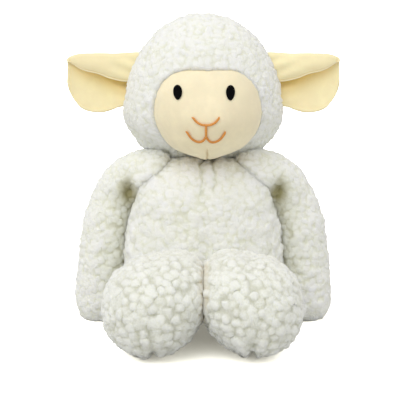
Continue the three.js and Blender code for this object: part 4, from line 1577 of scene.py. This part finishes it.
def leg_seams(points):
    """Held at the seam down the sole, most of all under the foot."""
    everywhere, below = SOLE_SEAM_PULLS
    pull = everywhere + below * smooth_step(*SOLE_SEAM_HEIGHTS, points[:, 2])
    return bell(points[:, 0] - sole_place(), SOLE_SEAM_SPREAD) * pull


def press_flat(piece, side):
    """Flattens a leg against the other one in the middle plane."""
    points = points_of(piece.data)
    points[:, 0] = side * np.maximum(side * points[:, 0], 0.0)
    move_points(piece.data, points)


class SHEEP_OT_legs(Operator):
    """Legs stretched forward, with ball feet and a seam along each sole"""

    bl_idname = "sheep.legs"
    bl_label = "Legs"

    def execute(self, context):
        fleece = context.scene.sheep_fleece
        left = leg_form("leg_left_fleece")
        stuffed(left, fleece.voxel, leg_seams, SOFT_SWELL)
        subdivided(left, PILE_LEVELS)
        right = mirrored(left, "leg_right_fleece")
        # A darker copy of the fleece for the legs: painted shade
        made = material("foot_fleece", fleece_material, LEG_SHADE_LEVEL, tuple(fleece.between_feet_shade))
        for side, piece in ((LEFT, left), (RIGHT, right)):
            points = points_of(piece.data)
            width = blend_value(fleece.body_curl, fleece.foot_curl, smooth_step(*FOOT_CURLS, points[:, 1]))
            groove = bell(np.abs(points[:, 0] - side * sole_place()), SOLE_GROOVE_SPREAD)
            groove *= SOLE_GROOVE_DEPTH * smooth_step(*SOLE_GROOVE_HEIGHTS, points[:, 2])
            scatter = fleece.seed + LEG_SCATTER + side
            depth = fleece.curl_depth * LEG_PILE
            grow_pile(piece, width, scatter, depth, groove, None, LEG_SHADE, LEG_FRIZZ)
            press_flat(piece, side)
            dress(piece, made)
            word = SIDE_NAMES[side]
            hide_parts(f"leg_{word}_inner", f"leg_{word}_outer", f"leg_{word}_padding")
            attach(piece, f"{word}_leg")
        return {"FINISHED"}


# Painted shade where pieces press together

# How far beside a piece its neighbour's shade reaches
PRESS_REACH = 0.008
WIDE_REACH = 0.024
# Which pieces press against each fleece, how strongly each paints shade on it, and how far that reaches
NEIGHBOURS = {
    "torso_fleece": (
        ("head_fleece", 0.38, PRESS_REACH), ("face_cloth", 0.38, PRESS_REACH),
        ("arm_left_fleece", 0.4, PRESS_REACH), ("arm_right_fleece", 0.4, PRESS_REACH),
    ),
    "head_fleece": (
        ("torso_fleece", 0.45, PRESS_REACH),
        ("arm_left_fleece", 0.3, PRESS_REACH), ("arm_right_fleece", 0.3, PRESS_REACH),
    ),
    "arm_left_fleece": (
        ("torso_fleece", 0.45, PRESS_REACH), ("torso_fleece", 0.34, WIDE_REACH),
        ("leg_left_fleece", 0.35, PRESS_REACH),
    ),
    "arm_right_fleece": (
        ("torso_fleece", 0.45, PRESS_REACH), ("torso_fleece", 0.34, WIDE_REACH),
        ("leg_right_fleece", 0.35, PRESS_REACH),
    ),
    "leg_left_fleece": (("leg_right_fleece", 0.9, PRESS_REACH),),
    "leg_right_fleece": (("leg_left_fleece", 0.9, PRESS_REACH),),
}
# Every so many points of a neighbour are looked at, and it touches from this share of the reach
NEIGHBOUR_STRIDE = 5
TOUCH_SHARE = 0.1
# The shade fades on top of the shoulders: between these heights, these places beside the middle
SHOULDER_TOP = (0.134, 0.116)
SHOULDER_BESIDE = (0.030, 0.045)
SHOULDER_FADE = 0.95
# Hollows take more of the shade than the tips of the curls do
HOLLOW_SHADE = 1.2
TIP_SHADE_LOSS = 0.9
ARMPIT_SHADE = 0.9
PLEAT_SHADE = 0.16


def nearness(points, neighbour, reach):
    """How near each point lies to a neighbour, from 0 at reach to 1 where they touch."""
    theirs = points_of(neighbour.data)[::NEIGHBOUR_STRIDE]
    near = np.zeros(len(points))
    low, high = theirs.min(axis=0) - reach, theirs.max(axis=0) + reach
    candidates = np.nonzero(np.all((points > low) & (points < high), axis=1))[0]
    tree = tree_of(theirs)
    away = np.array([tree.find(points[i])[2] for i in candidates])
    if len(away):
        near[candidates] = smooth_step(reach, reach * TOUCH_SHARE, away)
    return near


class SHEEP_OT_crevices(Operator):
    """Paints shade on the fleece where two pieces press together, in the armpits and in the pleats under the
    chin
    """

    bl_idname = "sheep.crevices"
    bl_label = "Crevices"

    def execute(self, context):
        for name, others in NEIGHBOURS.items():
            mesh = bpy.data.objects[name].data
            points = points_of(mesh)
            near = [
                nearness(points, bpy.data.objects[other], reach) * weight for other, weight, reach in others
            ]
            on_shoulder = smooth_step(*SHOULDER_BESIDE, np.abs(points[:, 0]))
            on_shoulder *= 1 - smooth_step(*SHOULDER_TOP, points[:, 2])
            tucked = np.max(near, axis=0) * (1 - SHOULDER_FADE * on_shoulder)
            pressed = tucked * (HOLLOW_SHADE - TIP_SHADE_LOSS * stored(mesh, "pile"))
            # Painted shade in the armpits, as deep as they are drawn in
            pressed += ARMPIT_SHADE * (armpit(points, LEFT) + armpit(points, RIGHT)) / ARMPIT_DEPTH
            # Painted shade in the pleats under the chin
            if name == "torso_fleece":
                pressed += PLEAT_SHADE * chin_gathers(points) / PLEAT_DEPTH
            store(mesh, "crevice_shade", np.clip(pressed, 0, 1))
        return {"FINISHED"}


class SHEEP_OT_tail(Operator):
    """Short tail that hangs against the back of the seat"""

    bl_idname = "sheep.tail"
    bl_label = "Tail"

    def execute(self, context):
        fleece = context.scene.sheep_fleece
        low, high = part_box("tail")
        root = hinge("tail_lift")
        middle_x = (low.x + high.x) / 2
        ahead, below = TAIL_START
        route = [
            (middle_x, root.y - ahead, high.z - below),
            (middle_x, root.y + TAIL_RADIUS, (low.z + high.z) / 2 + TAIL_BEND_RISE),
            (middle_x, high.y - TAIL_RADIUS, low.z),
        ]
        size = ((high.x - low.x) / 2 - TAIL_PILE_ROOM, TAIL_RADIUS - TAIL_PILE_ROOM)
        piece = stuffed_tube(
            "tail_fleece", route, Vector((1, 0, 0)), lambda amount: size, TAIL_SQUARENESS, TAIL_GRID
        )
        subdivided(piece, 1)
        width = np.full(len(piece.data.vertices), fleece.body_curl)
        grow_pile(piece, width, fleece.seed + TAIL_SCATTER, fleece.curl_depth)
        dress(piece, curly_fleece())
        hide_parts("tail")
        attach(piece, "tail")
        return {"FINISHED"}


# Stage

FLOOR_SIZE = 30.0
# The floor as the camera sees it, how it glows there, and its plain felt for everything else
FLOOR_WHITE = (2.5, 2.48, 2.42, 1)
FLOOR_GLOW = (0.21, 0.20, 0.165, 1)
FLOOR_FELT = (0.66, 0.66, 0.65, 1)
SKY_TINT = (1.0, 0.99, 0.97, 1)
KEY_TINT = (1.0, 0.995, 0.98)
FILL_TINT = (1.0, 1.0, 1.0)
# A lamp's softness, its azimuth from the camera's side, negative to its left, and its elevation: degrees
KEY_LAMP = (50, -36, 54)
FILL_LAMP = (90, 40, 26)
FILL_SHARE = 0.26
SENSOR_WIDTH = 36.0
CLIP_NEAR = 0.05
CLIP_FAR = 100
AIM_AHEAD = 0.003


def floor_material():
    """White to the camera wherever light reaches it, and a plain pale floor to everything else."""
    made = bpy.data.materials.new("studio_floor")
    made.use_nodes = True
    nodes, links = made.node_tree.nodes, made.node_tree.links
    nodes.clear()
    out = nodes.new("ShaderNodeOutputMaterial")
    lit = nodes.new("ShaderNodeBsdfDiffuse")
    lit.inputs["Color"].default_value = FLOOR_WHITE
    glow = nodes.new("ShaderNodeEmission")
    glow.inputs["Color"].default_value = FLOOR_GLOW
    seen = nodes.new("ShaderNodeAddShader")
    links.new(lit.outputs["BSDF"], seen.inputs[0])
    links.new(glow.outputs["Emission"], seen.inputs[1])
    felt = nodes.new("ShaderNodeBsdfDiffuse")
    felt.inputs["Color"].default_value = FLOOR_FELT
    rays = nodes.new("ShaderNodeLightPath")
    either = nodes.new("ShaderNodeMath")
    either.operation = "MAXIMUM"
    links.new(rays.outputs["Is Camera Ray"], either.inputs[0])
    links.new(rays.outputs["Is Glossy Ray"], either.inputs[1])
    pick = nodes.new("ShaderNodeMixShader")
    links.new(either.outputs["Value"], pick.inputs["Fac"])
    links.new(felt.outputs["BSDF"], pick.inputs[1])
    links.new(seen.outputs["Shader"], pick.inputs[2])
    links.new(pick.outputs["Shader"], out.inputs["Surface"])
    return made


def studio_world(strength):
    """Soft light from all round, and plain white where the camera looks past the floor."""
    world = bpy.data.worlds.new("studio")
    bpy.context.scene.world = world
    world.use_nodes = True
    nodes, links = world.node_tree.nodes, world.node_tree.links
    nodes.clear()
    out = nodes.new("ShaderNodeOutputWorld")
    rays = nodes.new("ShaderNodeLightPath")
    pick = nodes.new("ShaderNodeMixShader")
    links.new(rays.outputs["Is Camera Ray"], pick.inputs["Fac"])
    for colour_seen, level, slot in ((SKY_TINT, strength, 1), ((1, 1, 1, 1), 1.0, 2)):
        light = nodes.new("ShaderNodeBackground")
        light.inputs["Color"].default_value = colour_seen
        light.inputs["Strength"].default_value = level
        links.new(light.outputs["Background"], pick.inputs[slot])
    links.new(pick.outputs["Shader"], out.inputs["Surface"])


def sun(name, strength, tint, softness, azimuth, elevation):
    lamp = bpy.data.lights.new(name, "SUN")
    lamp.energy = strength
    lamp.angle = math.radians(softness)
    lamp.color = tint
    holder = bpy.data.objects.new(name, lamp)
    bpy.context.collection.objects.link(holder)
    a, e = math.radians(azimuth), math.radians(elevation)
    back = Vector((math.sin(a) * math.cos(e), -math.cos(a) * math.cos(e), math.sin(e)))
    holder.rotation_euler = (-back).to_track_quat("-Z", "Y").to_euler()


class SHEEP_OT_stage(Operator):
    """Floor, soft light and the camera"""

    bl_idname = "sheep.stage"
    bl_label = "Stage"

    def execute(self, context):
        stage = context.scene.sheep_stage
        form = bmesh.new()
        bmesh.ops.create_grid(form, x_segments=1, y_segments=1, size=FLOOR_SIZE)
        floor = new_piece("studio_floor", form)
        floor.data.materials.append(floor_material())
        studio_world(stage.sky_strength)
        sun("key_light", stage.key_strength, KEY_TINT, *KEY_LAMP)
        sun("fill_light", stage.key_strength * FILL_SHARE, FILL_TINT, *FILL_LAMP)

        lens = bpy.data.cameras.new("camera")
        lens.sensor_width = SENSOR_WIDTH
        lens.lens = lens.sensor_width * stage.focal_pixels / stage.frame_pixels
        lens.clip_start = CLIP_NEAR
        lens.clip_end = CLIP_FAR
        camera = bpy.data.objects.new("camera", lens)
        bpy.context.collection.objects.link(camera)
        aim = Vector((stage.aim_side, hinge("head_nod").y - AIM_AHEAD, stage.aim_height))
        back = Vector((0, -math.cos(stage.elevation), math.sin(stage.elevation)))
        camera.location = aim + back * stage.distance
        camera.rotation_euler = (-back).to_track_quat("-Z", "Y").to_euler()
        context.scene.camera = camera
        context.scene.view_settings.view_transform = "Standard"
        return {"FINISHED"}


class SHEEP_PT_pieces(Panel):
    """Lists the pieces of the sheep"""

    bl_idname = "SHEEP_PT_pieces"
    bl_label = "Plush Sheep"
    bl_space_type = "VIEW_3D"
    bl_region_type = "UI"
    bl_category = "Plush Sheep"

    def draw(self, context):
        for operator in OPERATORS:
            self.layout.operator(operator.bl_idname)
        for group in ("sheep_forms", "sheep_face", "sheep_fleece", "sheep_stage"):
            values = getattr(context.scene, group)
            box = self.layout.box()
            for name in values.bl_rna.properties.keys():
                if name not in ("rna_type", "name"):
                    box.prop(values, name)


GROUPS = {
    "sheep_forms": SheepForms,
    "sheep_face": SheepFace,
    "sheep_fleece": SheepFleece,
    "sheep_stage": SheepStage,
}
OPERATORS = (
    SHEEP_OT_torso,
    SHEEP_OT_head,
    SHEEP_OT_face,
    SHEEP_OT_stitching,
    SHEEP_OT_ears,
    SHEEP_OT_arms,
    SHEEP_OT_legs,
    SHEEP_OT_tail,
    SHEEP_OT_crevices,
    SHEEP_OT_stage,
)


def register():
    for group in GROUPS.values():
        bpy.utils.register_class(group)
    for name, group in GROUPS.items():
        setattr(bpy.types.Scene, name, PointerProperty(type=group))
    for operator in OPERATORS:
        bpy.utils.register_class(operator)
    bpy.utils.register_class(SHEEP_PT_pieces)


def unregister():
    bpy.utils.unregister_class(SHEEP_PT_pieces)
    for operator in reversed(OPERATORS):
        bpy.utils.unregister_class(operator)
    for name in GROUPS:
        delattr(bpy.types.Scene, name)
    for group in reversed(GROUPS.values()):
        bpy.utils.unregister_class(group)


def main():
    """Makes every piece in order."""
    register()
    bpy.ops.sheep.torso()
    bpy.ops.sheep.head()
    bpy.ops.sheep.face()
    bpy.ops.sheep.stitching()
    bpy.ops.sheep.ears()
    bpy.ops.sheep.arms()
    bpy.ops.sheep.legs()
    bpy.ops.sheep.tail()
    bpy.ops.sheep.crevices()
    bpy.ops.sheep.stage()


if __name__ == "__main__":
    main()
